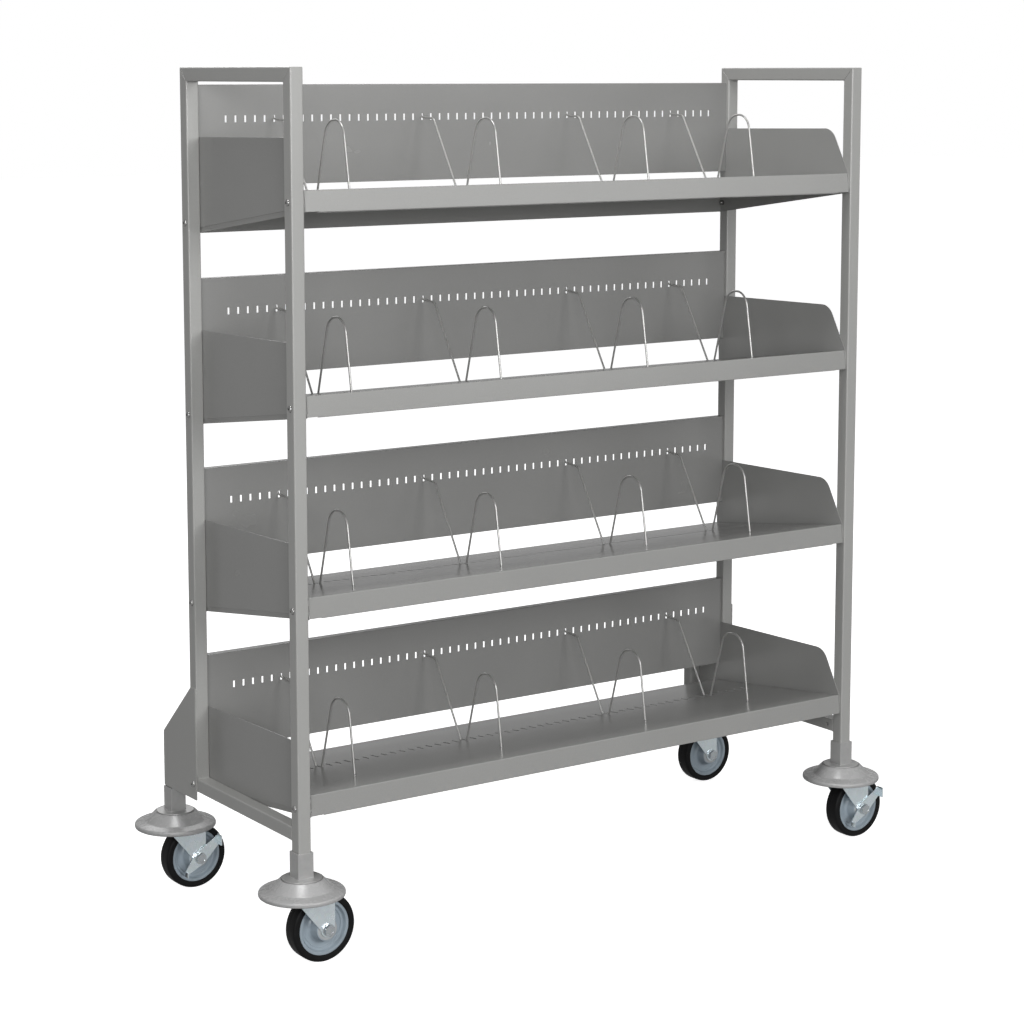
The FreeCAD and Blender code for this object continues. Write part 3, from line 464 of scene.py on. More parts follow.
def wireTree():
    tree, given = startTree("bent wire", [("Radius", "Float", 0.002), ("Sides", "Int", 14)])
    line = addNode(tree, "GeometryNodeMeshToCurve", {"Mesh": given["Geometry"]})
    ring = addNode(tree, "GeometryNodeCurvePrimitiveCircle", {
        "Radius": given["Radius"], "Resolution": given["Sides"]})
    sweep = addNode(tree, "GeometryNodeCurveToMesh", {
        "Curve": line.outputs["Curve"], "Profile Curve": ring.outputs["Curve"],
        "Fill Caps": True})
    return endTree(tree, given, sweep.outputs["Mesh"])


def weldTree():
    tree, given = startTree("weld ripples", [
        ("Ripple", "Float", 0.0016), ("Width", "Float", 0.002),
        ("Smallest", "Float", 0.85), ("Largest", "Float", 1.12), ("Seed", "Int", 7)])
    line = addNode(tree, "GeometryNodeMeshToCurve", {"Mesh": given["Geometry"]})
    divide = tree.nodes.new("GeometryNodeResampleCurve")
    divide.mode = "LENGTH"
    feed(tree, divide, {"Curve": line.outputs["Curve"], "Length": given["Ripple"]})
    drop = addNode(tree, "GeometryNodeMeshIcoSphere", {"Subdivisions": 2, "Radius": 1})
    wobble = tree.nodes.new("FunctionNodeRandomValue")
    wobble.data_type = "FLOAT"
    feed(tree, wobble, {2: given["Smallest"], 3: given["Largest"], "Seed": given["Seed"]})
    place = addNode(tree, "GeometryNodeInstanceOnPoints", {
        "Points": divide.outputs["Curve"], "Instance": drop.outputs["Mesh"],
        "Scale": addMath(tree, "MULTIPLY", wobble.outputs[1], given["Width"])})
    return endTree(tree, given, place.outputs["Instances"])


def repeatTree():
    tree, given = startTree("set at points", [("Part", "Object", None)])
    part = addNode(tree, "GeometryNodeObjectInfo", {"Object": given["Part"], "As Instance": True})
    turn = tree.nodes.new("GeometryNodeInputNamedAttribute")
    turn.data_type = "FLOAT_VECTOR"
    feed(tree, turn, {"Name": "turn"})
    place = addNode(tree, "GeometryNodeInstanceOnPoints", {
        "Points": given["Geometry"], "Instance": part.outputs["Geometry"],
        "Rotation": turn.outputs["Attribute"]})
    return endTree(tree, given, place.outputs["Instances"])


bentWire = wireTree()
weldRipples = weldTree()
setAtPoints = repeatTree()


def growMesh(name, seedMesh, tree, values):
    # runs a tree on a seed mesh and keeps the result as a mesh
    seed = addObject(name + "_seed", seedMesh)
    grower = seed.modifiers.new("grow", "NODES")
    grower.node_group = tree
    for item in tree.interface.items_tree:
        if item.in_out == "INPUT" and item.name in values:
            grower[item.identifier] = values[item.name]
    bpy.context.view_layer.update()
    depsgraph = bpy.context.evaluated_depsgraph_get()
    mesh = bpy.data.meshes.new_from_object(seed.evaluated_get(depsgraph))
    mesh.name = name
    seed.modifiers.clear()
    bpy.data.objects.remove(seed)
    return mesh


def lineMesh(name, lines):
    # edges through each list of points
    spots = []
    edges = []
    for line in lines:
        first = len(spots)
        spots += [Vector(point) * mm for point in line]
        edges += [(first + k, first + k + 1) for k in range(len(line) - 1)]
    mesh = bpy.data.meshes.new(name)
    mesh.from_pydata(spots, edges, [])
    return mesh


def repeatPart(name, partMesh, spots, turns, material):
    # one copy of partMesh at each spot, turned by its own angles
    part = addObject(name + "_part", partMesh)
    points = bpy.data.meshes.new(name + "_points")
    points.from_pydata([spot * mm for spot in spots], [], [])
    attribute = points.attributes.new("turn", "FLOAT_VECTOR", "POINT")
    for k, angles in enumerate(turns):
        attribute.data[k].vector = angles
    mesh = growMesh(name, points, setAtPoints, {"Part": part, "Material": material})
    bpy.data.objects.remove(part)
    return mesh


# End frames

tubes = {"cornerRadius": 2.6, "cornerSteps": 4, "wall": 1.6, "seam": 0.9,
         "holeRadius": 3.5, "holeSides": 24, "holeDepth": 22, "holePatch": 6}
outrigger = {"plate": 2.5, "ledge": 17, "shoulder": 312, "bottom": 206, "tube": 25.4,
             "tubeDrop": 14, "footCorner": 1, "shoulderCorner": 10, "ledgeCorner": 2, "edge": 0.5}
welds = {"ripple": 1.7, "width": 1.7, "inset": 2.5,
         "plateFoot": 6, "plateTop": 8, "plateGap": 0.2}  # along the outrigger's plate


def tubeSection(low, high):
    # a square section with round corners, and the same drawn in for the tube's ends
    radius, rim = tubes["cornerRadius"], tubes["seam"]
    ring = []
    for u, v, turn in ((high[0] - radius, high[1] - radius, 0),
                       (low[0] + radius, high[1] - radius, 90),
                       (low[0] + radius, low[1] + radius, 180),
                       (high[0] - radius, low[1] + radius, 270)):
        for k in range(tubes["cornerSteps"] + 1):
            angle = math.radians(turn + 90 * k / tubes["cornerSteps"])
            ring.append((u + radius * math.cos(angle), v + radius * math.sin(angle)))
    middle = [(low[k] + high[k]) / 2 for k in range(2)]
    shrink = [1 - 2 * rim / (high[k] - low[k]) for k in range(2)]
    inner = [(middle[0] + (u - middle[0]) * shrink[0], middle[1] + (v - middle[1]) * shrink[1])
             for u, v in ring]
    return ring, inner


def uprightTube(shape, low, high, topCut):
    ring, inner = tubeSection((low.x, low.y), (high.x, high.y))
    rim = tubes["seam"]
    loft(shape, [[(x, y, low.z) for x, y in inner], [(x, y, low.z + rim) for x, y in ring],
                 [(x, y, topCut(y) - rim) for x, y in ring], [(x, y, topCut(y)) for x, y in inner]])


def levelTube(shape, low, high, startCut, endCut, hole=None):
    ring, inner = tubeSection((low.x, low.z), (high.x, high.z))
    rim = tubes["seam"]
    start = [[(x, startCut(z), z) for x, z in inner], [(x, startCut(z) + rim, z) for x, z in ring]]
    end = [[(x, endCut(z) - rim, z) for x, z in ring], [(x, endCut(z), z) for x, z in inner]]
    if not hole:
        loft(shape, start + end)
        return
    # the side that has the hole opens over a short patch
    onRight = hole.x > (low.x + high.x) / 2
    side = (len(ring) if onRight else len(ring) // 2) - 1
    patch = [[(x, hole.y + reach, z) for x, z in ring]
             for reach in (-tubes["holePatch"], tubes["holePatch"])]
    rows = loft(shape, [*start, *patch, *end], lambda k, n: k == 2 and n == side)
    after = (side + 1) % len(ring)
    corner = [rows[2][side], rows[2][after], rows[3][after], rows[3][side]]
    pierce(shape, corner, high.x if onRight else low.x, -1 if onRight else 1, hole)


def pierce(shape, corner, face, inwards, hole):
    # fills an open square patch round a round hole, and gives the hole its wall and floor
    count, radius = tubes["holeSides"], tubes["holeRadius"]
    turns = [2 * math.pi * k / count for k in range(count)]
    circles = [[shape.verts.new(Vector((face + inwards * depth, hole.y + radius * math.cos(turn),
                                        hole.z + radius * math.sin(turn))) * mm) for turn in turns]
               for depth in (0, tubes["wall"], tubes["holeDepth"])]

    def place(vertex):
        # the circle's point nearest in angle
        angle = math.atan2(vertex.co.z / mm - hole.z, vertex.co.y / mm - hole.y) % (2 * math.pi)
        return round(angle / (2 * math.pi) * count)
    corner.sort(key=place)
    for k, first in enumerate(corner):
        second = corner[(k + 1) % 4]
        a, b = place(first), place(second)
        if b <= a:
            b += count
        arc = [circles[0][n % count] for n in range(a, b + 1)]
        shape.faces.new([first, *arc, second])
    bridge(shape, circles)
    shape.faces.new(circles[-1])


def framePart(side, part):
    node = side + "_" + part
    low, high = boxOf(node)
    shape = bmesh.new()
    if part == "front_post":
        uprightTube(shape, low, high, lambda y: high.z - (y - low.y))
    elif part == "rear_post":
        uprightTube(shape, low, high, lambda y: high.z - (high.y - y))
    elif part == "top_rail":
        levelTube(shape, low, high, lambda z: low.y + (high.z - z), lambda z: high.y - (high.z - z))
    else:
        levelTube(shape, low, high, lambda z: low.y, lambda z: high.y, holes[side + "_rail_hole"])
    dressNode(shape, node, "_tube", framePaint)


def outriggerPiece(side):
    node = side + "_outrigger"
    low, high = boxOf(node)
    foot, shoulder = outrigger["bottom"], outrigger["shoulder"]
    small = outrigger["footCorner"]
    outline = roundedLoop([(low.y, foot), (high.y, foot), (high.y, shoulder),
                           (low.y + outrigger["ledge"], high.z), (low.y, high.z)],
                          [small, small, outrigger["shoulderCorner"], outrigger["ledgeCorner"],
                           small])
    if side == "left":
        parting = low.x + outrigger["plate"]
        outer, inner = (low.x, parting), (parting, high.x)
    else:
        parting = high.x - outrigger["plate"]
        outer, inner = (parting, high.x), (low.x, parting)
    shape = bmesh.new()
    loft(shape, plateRings(outline, *outer, outrigger["edge"]))
    top = shoulder - outrigger["tubeDrop"]
    uprightTube(shape, Vector((inner[0], high.y - outrigger["tube"], low.z)),
                Vector((inner[1], high.y, top)), lambda y: top)
    dressNode(shape, node, "_plate", framePaint)


def frameWelds(side):
    # beads across the tubes where they meet, and one along the outrigger's plate
    post, front, rail, top, plate = (boxOf(side + "_" + part) for part in (
        "rear_post", "front_post", "bottom_rail", "top_rail", "outrigger"))
    x0, x1 = post[0].x + welds["inset"], post[1].x - welds["inset"]
    railFoot, railTop, shoulder = rail[0].z, rail[1].z, top[0].z
    places = [(post[0].y, railTop), (post[1].y, railTop), (front[1].y, railTop),
              (front[1].y, railFoot), (front[1].y, shoulder), (post[0].y, shoulder)]
    lines = [[(x0, y, z), (x1, y, z)] for y, z in places]
    x = plate[0].x + outrigger["plate"] if side == "left" else plate[1].x - outrigger["plate"]
    y = plate[0].y - welds["plateGap"]
    lines.append([(x, y, railTop + welds["plateFoot"]), (x, y, plate[1].z - welds["plateTop"])])
    name = side + "_frame_welds"
    mesh = growMesh(name, lineMesh("welds", lines), weldRipples, {
        "Ripple": welds["ripple"] * mm, "Width": welds["width"] * mm, "Material": framePaint})
    showPiece(mesh, name, "rack", framePaint)


holes = {mount["name"]: Vector(mount["pos_m"]) / mm for mount in frame["record"]["mounts"]}
for side in sides:
    for part in ("front_post", "rear_post", "top_rail", "bottom_rail"):
        framePart(side, part)
for side in sides:
    outriggerPiece(side)
for side in sides:
    frameWelds(side)
print("end frames done")


# Bent sheets with slots

slots = {"count": 57, "pitch": 20.2, "first": -571.35, "width": 4.8,
         "frontRow": (106.0, 116.0), "backWidth": 4.2, "backHeight": 12.5}
sheet = {"thick": 1.2, "outerBend": 2.0, "innerBend": 0.8, "bendSteps": 4}


def bendArc(corner, first, last, radius):
    # a square bend at a corner; first and last point from it along the two runs
    first, last = Vector(first) * radius, Vector(last) * radius
    centre = Vector(corner) + first + last
    arc = []
    for k in range(sheet["bendSteps"] + 1):
        angle = math.pi / 2 * k / sheet["bendSteps"]
        arc.append(tuple(centre - last * math.cos(angle) - first * math.sin(angle)))
    return arc


def slottedSheet(shape, outer, inner, rows, width, ends, place):
    # outer and inner are the sheet's two faces from edge to edge; each row gives its slots' ends,
    # as a pair of points on each face, and the numbers of the slots that are cut
    loop = outer + list(reversed(inner))
    stations = [ends[0]]
    for k in range(slots["count"]):
        middle = slots["first"] + slots["pitch"] * k
        stations += [middle - width / 2, middle + width / 2]
    stations.append(ends[1])

    def find(point):
        return min(range(len(loop)), key=lambda n: (Vector(loop[n]) - Vector(point)).length)
    cut = {(2 * number + 1, min(find(a), find(b)))
           for row, numbers in rows for a, b in row for number in numbers}
    grid = loft(shape, [[place(x, u, v) for u, v in loop] for x in stations],
                lambda k, n: (k, n) in cut)
    for row, numbers in rows:
        (a0, a1), (b0, b1) = [(find(a), find(b)) for a, b in row]
        for number in numbers:
            near, far = grid[2 * number + 1], grid[2 * number + 2]
            for wall in ((near[a0], far[a0], far[b0], near[b0]),
                         (near[a1], far[a1], far[b1], near[b1]),
                         (near[a0], near[a1], near[b1], near[b0]),
                         (far[a0], far[a1], far[b1], far[b0])):
                shape.faces.new(wall)


# Shelves

tray = {"depth": 38.5, "run": 400.0, "hem": 12.0, "hemInset": 28.0, "hemBend": 1.1,
        "tilts": {"bottom": 7.0, "lower": 8.0, "upper": 8.0, "top": 8.0}}
dividers = {
    "wire": 4.0, "sides": 14, "bendStep": 7,
    "wires": [-470.35, -147.15, 196.25, 458.85],  # along the shelf, one in each used slot
    "hookHeight": 121.5, "turnUp": 12.0, "hookBend": 89.3, "hookDrop": 3.0,
    "loopMiddle": 241.0, "loopSpread": 17.0, "loopDepth": 5.0,
    "archRear": 171.0, "archFront": 115.0, "archHeight": 135.0, "leg": 111.0, "legDepth": 7.0,
    "radii": [6.0, 12.0, 4.5, 4.5, 31.0, 31.0],
}


class Slope:
    # one shelf's floor: places along it from the lip, and up square to it
    def __init__(self, shelf):
        self.low, self.high = boxOf(shelf + "_shelf")
        tilt = math.radians(tray["tilts"][shelf])
        self.along = Vector((0, math.cos(tilt), -math.sin(tilt)))
        self.up = Vector((0, math.sin(tilt), math.cos(tilt)))
        self.lip = Vector((0, self.high.y - tray["run"] * math.cos(tilt), self.high.z))

    def place(self, x, v, w):
        spot = self.lip + self.along * v + self.up * w
        return (x, spot.y, spot.z)

    def spot(self, v, w):
        return self.place(0, v, w)[1:]

    def local(self, y, z):
        arm = Vector((0, y, z)) - self.lip
        return arm.dot(self.along), arm.dot(self.up)


def hookLevel(shelf):
    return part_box(shelf + "_back_panel")[0].z / mm + dividers["hookHeight"]


def rearRow(shelf, slope):
    # the rear slots take both legs of a divider where they lean through the floor
    d = dividers
    depth, half = d["loopDepth"], d["loopSpread"] / 2
    room = d["wire"] / 2 + slots["width"] - d["wire"]
    fore, aft = d["loopMiddle"] - half, d["loopMiddle"] + half
    bend, rise = slope.local(d["hookBend"], hookLevel(shelf) - d["hookDrop"])
    leanFore = (fore - d["archRear"]) * depth / (d["archHeight"] + depth)
    leanAft = (bend - aft) * depth / (rise + depth)
    return fore - leanFore - room, aft + leanAft + room


def shelfPiece(shelf):
    slope = Slope(shelf)
    thick, deep, run = sheet["thick"], tray["depth"], tray["run"]
    outerBend, innerBend = sheet["outerBend"], sheet["innerBend"]
    rows = [slots["frontRow"], rearRow(shelf, slope)]
    stops = [v for row in rows for v in row]
    lipFoot = thick - deep
    outer = [(0, lipFoot), *bendArc((0, 0), (0, -1), (1, 0), outerBend), *[(v, 0) for v in stops],
             *bendArc((run, 0), (-1, 0), (0, -1), outerBend), (run, -deep)]
    inner = [(thick, lipFoot), *bendArc((thick, -thick), (0, -1), (1, 0), innerBend),
             *[(v, -thick) for v in stops],
             *bendArc((run - thick, -thick), (-1, 0), (0, -1), innerBend), (run - thick, -deep)]
    # the front row has slots only under the dividers' front legs
    inUse = [round((across - slots["first"]) / slots["pitch"]) for across in dividers["wires"]]
    cuts = [((((a, 0), (b, 0)), ((a, -thick), (b, -thick))), numbers)
            for (a, b), numbers in zip(rows, (inUse, range(slots["count"])))]
    ends = (slope.low.x + outerBend, slope.high.x - outerBend)
    shape = bmesh.new()
    slottedSheet(shape, outer, inner, cuts, slots["width"], ends, slope.place)
    for edge, sign in ((slope.low.x, 1), (slope.high.x, -1)):
        # a side flange with its bend
        far = edge + sign * thick
        face = [(edge, -deep), *bendArc((edge, 0), (0, -1), (sign, 0), outerBend)]
        back = [(far, -deep), *bendArc((far, -thick), (0, -1), (sign, 0), innerBend)]
        loop = face + list(reversed(back))
        loft(shape, [[slope.place(x, v, w) for x, w in loop] for v in (0, run)])
    # the hem under the lip
    hem = [(0, lipFoot), *bendArc((0, -deep), (0, 1), (1, 0), tray["hemBend"]),
           (tray["hem"], -deep), (tray["hem"], lipFoot)]
    loft(shape, [[slope.place(x, v, w) for v, w in hem]
                 for x in (slope.low.x + tray["hemInset"], slope.high.x - tray["hemInset"])])
    dressNode(shape, shelf + "_shelf", "_tray", shelfPaint)


def bentLine(corners2d, radii):
    # points of a line with round bends, in a plane across the shelf
    line = [Vector(corners2d[0])]
    for before, corner, after, radius in zip(corners2d, corners2d[1:], corners2d[2:], radii):
        corner = Vector(corner)
        inward = (Vector(before) - corner).normalized()
        outward = (Vector(after) - corner).normalized()
        half = inward.angle(outward) / 2
        reach = radius / math.tan(half)
        centre = corner + (inward + outward).normalized() * (radius / math.sin(half))
        start = corner + inward * reach - centre
        end = corner + outward * reach - centre
        steps = max(6, int(math.degrees(math.pi - 2 * half) / dividers["bendStep"]))
        total = start.angle(end)
        for k in range(steps + 1):
            share = k / steps
            arm = start * math.sin((1 - share) * total) + end * math.sin(share * total)
            line.append(centre + arm / math.sin(total))
    line.append(Vector(corners2d[-1]))
    return line


def dividerPiece(shelf):
    # hook, leg down to the loop under the floor, up to the arch and down its front leg
    d, slope, level = dividers, Slope(shelf), hookLevel(shelf)
    hookEnd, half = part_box(shelf + "_dividers")[1].y / mm - d["wire"] / 2, d["loopSpread"] / 2
    line = bentLine([(hookEnd, level + d["turnUp"]), (hookEnd, level),
                     (d["hookBend"], level - d["hookDrop"]),
                     slope.spot(d["loopMiddle"] + half, -d["loopDepth"]),
                     slope.spot(d["loopMiddle"] - half, -d["loopDepth"]),
                     slope.spot(d["archRear"], d["archHeight"]),
                     slope.spot(d["archFront"], d["archHeight"]),
                     slope.spot(d["leg"], -d["legDepth"])], d["radii"])
    paths = [[(across, point.x, point.y) for point in line] for across in d["wires"]]
    name = shelf + "_divider_wires"
    mesh = growMesh(name, lineMesh("wires", paths), bentWire, {
        "Radius": d["wire"] / 2 * mm, "Sides": d["sides"], "Material": wireZinc})
    showPiece(mesh, name, "rack", wireZinc, [shelf + "_dividers"])


for shelf in shelves:
    shelfPiece(shelf)
print("shelves done")


# Back and end panels

endPanel = {"front": 108.0, "rear": 102.0, "lean": 49.0, "reveal": 9.0, "backFoot": 12.5,
            "gap": 0.3, "footCorner": 0.8, "rearCorner": 1.5, "frontCorner": 35.0, "lipCorner": 1.0,
            "edge": 0.35}


def backPiece(shelf):
    node = shelf + "_back_panel"
    low, high = boxOf(node)
    thick, level, half = sheet["thick"], hookLevel(shelf), slots["backHeight"] / 2
    slotEnds = (level - half, level + half)
    front, rear, under = low.y, low.y + thick, high.z - thick
    outer = [(front, low.z), *[(front, z) for z in slotEnds],
             *bendArc((front, high.z), (0, -1), (1, 0), sheet["outerBend"]), (high.y, high.z)]
    inner = [(rear, low.z), *[(rear, z) for z in slotEnds],
             *bendArc((rear, under), (0, -1), (1, 0), sheet["innerBend"]), (high.y, under)]
    row = [tuple((y, z) for z in slotEnds) for y in (front, rear)]
    shape = bmesh.new()
    slottedSheet(shape, outer, inner, [(row, range(slots["count"]))], slots["backWidth"],
                 (low.x, high.x), lambda x, u, v: (x, u, v))
    dressNode(shape, node, "_sheet", shadedPanelPaint)


def endPiece(side, shelf):
    node = side + "_" + shelf + "_end_panel"
    low, high = boxOf(node)
    slope = Slope(shelf)
    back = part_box(shelf + "_back_panel")[0]
    bolt = back.z / mm - endPanel["backFoot"]
    rear = back.y / mm - endPanel["gap"]
    step = bolt + endPanel["backFoot"] - endPanel["gap"]
    below = endPanel["reveal"] - tray["depth"]
    run, lip = tray["run"], slope.spot(0, 0)
    foot = endPanel["footCorner"]
    outline = roundedLoop([slope.spot(0, below), slope.spot(run, below),
                           (slope.spot(run, 0)[0], step), (rear, step),
                           (rear, bolt + endPanel["rear"]),
                           (lip[0] + endPanel["lean"], bolt + endPanel["front"]), lip],
                          [foot, foot, foot, 0, endPanel["rearCorner"], endPanel["frontCorner"],
                           endPanel["lipCorner"]])
    shape = bmesh.new()
    loft(shape, plateRings(outline, low.x, high.x, endPanel["edge"]))
    dressNode(shape, node, "_sheet", litPanelPaint)


for shelf in shelves:
    backPiece(shelf)
    for side in sides:
        endPiece(side, shelf)
for shelf in shelves:
    dividerPiece(shelf)
print("panels and dividers done")


# Shelf bolts and nuts

bolts = {"head": 12.0, "height": 3.2, "seatEdge": 0.25, "rim": 0.6, "socket": 4.24,
         "socketDepth": 1.8, "shank": 6.0, "nut": 10.0, "nutHeight": 5.0, "nutEdge": 0.5,
         "nutPlay": 0.05, "sides": 36,
         "crown": [(0.94, 0.5), (0.78, 0.8), (0.56, 0.96), (0.42, 1.0)]}  # shares of the head


def boltMesh(grip):
    # button head with its socket at +Z, shank running to -Z from the seat at 0
    head, tall, shank = bolts["head"] / 2, bolts["height"], bolts["shank"] / 2
    edge, deep = bolts["seatEdge"], tall - bolts["socketDepth"]
    socket = lambda angle: hexRadius(bolts["socket"] / 2, angle)
    return stackedLoops("bolt", [
        (shank - 0.5, -grip), (shank, -grip + 0.6), (shank, -0.3), (shank + 0.3, 0),
        (head - edge, 0), (head, edge), (head, bolts["rim"]),
        *[(head * wide, tall * high) for wide, high in bolts["crown"]],
        (socket, tall), (socket, deep), (0.4, deep - 0.4)], bolts["sides"])


def nutMesh():
    across = bolts["nut"] / math.cos(math.pi / 6) / 2
    tall, edge, bore = bolts["nutHeight"], bolts["nutEdge"], bolts["shank"] / 2 + bolts["nutPlay"]
    flat = lambda angle: hexRadius(across, angle)
    rounded = lambda angle: min(hexRadius(across, angle), bolts["nut"] / 2 * 1.06)
    return stackedLoops("nut", [(bore, 0), (rounded, 0), (flat, edge), (flat, tall - edge),
                                (rounded, tall), (bore, tall)], bolts["sides"])


quarter = math.pi / 2
boltBoxes = islands("shelf_bolts")
grip = min(high.x - low.x for low, high in boltBoxes) - bolts["height"]
spots, turns = [], []
for low, high in boltBoxes:
    middle = (low + high) / 2
    outwards = -1 if middle.x < 0 else 1
    seat = (low.x if outwards < 0 else high.x) - outwards * bolts["height"]
    spots.append(Vector((seat, middle.y, middle.z)))
    turns.append((0, outwards * quarter, 0))
mesh = repeatPart("bolt_heads", boltMesh(grip), spots, turns, boltZinc)
showPiece(mesh, "bolt_heads", "rack", boltZinc, ["shelf_bolts"])
spots = []
for low, high in islands("shelf_nuts"):
    middle = (low + high) / 2
    spots.append(Vector((low.x, middle.y, middle.z)))
mesh = repeatPart("hex_nuts", nutMesh(), spots, [(0, quarter, 0)] * len(spots), boltZinc)
showPiece(mesh, "hex_nuts", "rack", boltZinc, ["shelf_nuts"])
print("bolts done")


# Casters

bumper = {"web": 22.2, "webTop": 154, "seat": 150, "inner": 37.5, "top": 157, "knee": 56.5,
          "kneeTop": 138.5, "rim": 77, "rimTop": 134, "foot": 126, "skin": 5}
wheel = {"bore": 4.85, "hub": 21, "hubHalf": 25.5, "hubFoot": 25.5, "web": 6, "step": 38,
         "well": 43.95, "rimHalf": 14, "rim": 49.95}
tyre = {"inner": 50, "outer": 62.5, "half": 16, "shoulder": 6, "shoulderWidth": 9,
        "innerCorner": 1.0, "seam": 0.4, "seamDepth": 0.25, "seamCorner": 0.1}
cap = {"outer": 19.2, "inner": 10, "back": 24.5, "face": 25.8}
axle = {"flats": 19.0, "head": 7.0, "nut": 8.0, "end": 2.0, "shank": 9.5, "flange": 11.6,
        "flangeHeight": 1.1, "dimple": 6.0, "dimpleDepth": 0.4}
lever = {"plate": 2.5, "rim": 0.5, "eye": 14.0, "pedal": (40.0, 31.0), "pedalWidth": 20.0,
         "pedalTread": 14.0, "toe": (32.0, 27.0), "toeWidth": 10.0, "toeTread": 9.0}
caster = {"turnSides": 112, "capSides": 64, "axleSides": 72, "socketEdge": 0.8, "forkEdge": 0.9,
          "kingpinEdge": 0.6}


def middleOf(node):
    low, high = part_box(node)
    return (low + high) / 2 / mm


def mirrored(half):
    # the other half of a section, in reverse
    return [(radius, -height, corner) for radius, height, corner in reversed(half)]


def bumperPiece(name):
    b = bumper
    inside = b["rim"] - b["skin"]
    section = [(b["web"], b["seat"], 0.5), (b["web"], b["webTop"], 0.5),
               (b["inner"], b["webTop"], 0.8), (b["inner"], b["top"], 1.2),
               (b["knee"], b["kneeTop"], 8), (b["rim"], b["rimTop"], 4), (b["rim"], b["foot"], 2.5),
               (inside, b["foot"], 1.2), (inside, b["rimTop"] - b["skin"], 3),
               (b["knee"], b["kneeTop"] - b["skin"], 6), (b["inner"], b["seat"], 3)]
    node, ring = name + "_bumper", name + "_bumper_ring"
    middle = middleOf(node)
    mesh = lathe(ring, section, Vector((middle.x, middle.y, 0)), Vector((0, 0, 1)),
                 caster["turnSides"])
    showPiece(mesh, ring, bodyOf[node], bumperVinyl, [node])


def wheelPieces(name):
    middle = middleOf(name + "_wheel")
    body = bodyOf[name + "_wheel"]
    axis, sides = Vector((0, 1, 0)), caster["turnSides"]
    core, tread = name + "_wheel_core", name + "_tyre_tread"
    w = wheel
    # half of the core's section: hub cone, disc with a step near the rim, rim flange
    half = [(w["bore"], w["hubHalf"], 0.4), (w["hub"], w["hubHalf"], 1.0),
            (w["hubFoot"], w["web"] + 2.5, 3.0), (w["hubFoot"] + 4, w["web"], 2.5),
            (w["step"] - 1.5, w["web"], 1.0), (w["step"], w["web"] + 2, 1.0),
            (w["well"] - 2.2, w["web"] + 2, 1.4), (w["well"], w["rimHalf"] - 1.6, 1.2),
            (w["well"] + 1.0, w["rimHalf"], 0.7), (w["rim"], w["rimHalf"], 0.5)]
    mesh = lathe(core, half + mirrored(half), middle, axis, sides)
    showPiece(mesh, core, body, wheelNylon, [name + "_wheel"])
    for end, sign in (("front", -1), ("rear", 1)):
        back, face = sign * cap["back"], sign * cap["face"]
        section = [(cap["inner"], back, 0.2), (cap["inner"], face, 0.5),
                   (cap["outer"], face, 0.8), (cap["outer"] + 0.5, back, 0.2)]
        piece = name + "_bearing_cap_" + end
        mesh = lathe(piece, section, middle, axis, caster["capSides"])
        showPiece(mesh, piece, body, capPlastic)
    t = tyre
    # half of the tyre's section, from its middle line outwards
    half = [(t["outer"], t["seam"], t["seamCorner"]),
            (t["outer"], t["half"] - t["shoulderWidth"], 0),
            (t["outer"] - 0.5, t["half"], t["shoulder"]),
            (t["inner"], t["half"], t["innerCorner"])]
    section = [*mirrored(half), (t["outer"] - t["seamDepth"], 0, t["seamCorner"]), *half]
    mesh = lathe(tread, section, middle, axis, sides)
    showPiece(mesh, tread, bodyOf[name + "_tyre"], tyreRubber, [name + "_tyre"])


def axlePiece(name):
    # a flanged bolt with its head to the front, and a flanged lock nut
    a = axle
    node = name + "_axle"
    low, high = boxOf(node)
    middle = (low + high) / 2
    headTop, end = middle.y - low.y, middle.y - high.y
    headSeat = headTop - a["head"]
    nutEnd, nutSeat = end + a["end"], end + a["end"] + a["nut"]
    shank, across = a["shank"] / 2, a["flats"] / math.cos(math.pi / 6) / 2
    side = lambda angle: hexRadius(across, angle)
    rounded = lambda angle: min(hexRadius(across, angle) - 0.3, a["flats"] / 2 * 1.05)
    loops = [(shank - 0.7, end), (shank, end + 0.7), (shank, nutEnd - 0.2), (shank + 1.6, nutEnd),
             (rounded, nutEnd), (side, nutEnd + 0.9), (side, nutSeat - 1.5),
             (a["flange"], nutSeat - 1.2), (a["flange"], nutSeat), (shank, nutSeat),
             (shank, headSeat), (a["flange"], headSeat),
             (a["flange"], headSeat + a["flangeHeight"]), (side, headSeat + 1.4),
             (side, headTop - 0.9), (rounded, headTop),
             (a["dimple"] + 0.4, headTop), (a["dimple"], headTop - a["dimpleDepth"]),
             (0.3, headTop - a["dimpleDepth"])]
    mesh = stackedLoops(node + "_bolt", loops, caster["axleSides"])
    mesh.transform(Matrix.Translation(middle * mm) @ Matrix.Rotation(quarter, 4, "X"))
    showPiece(mesh, node + "_bolt", bodyOf[node], axleSteel, [node])


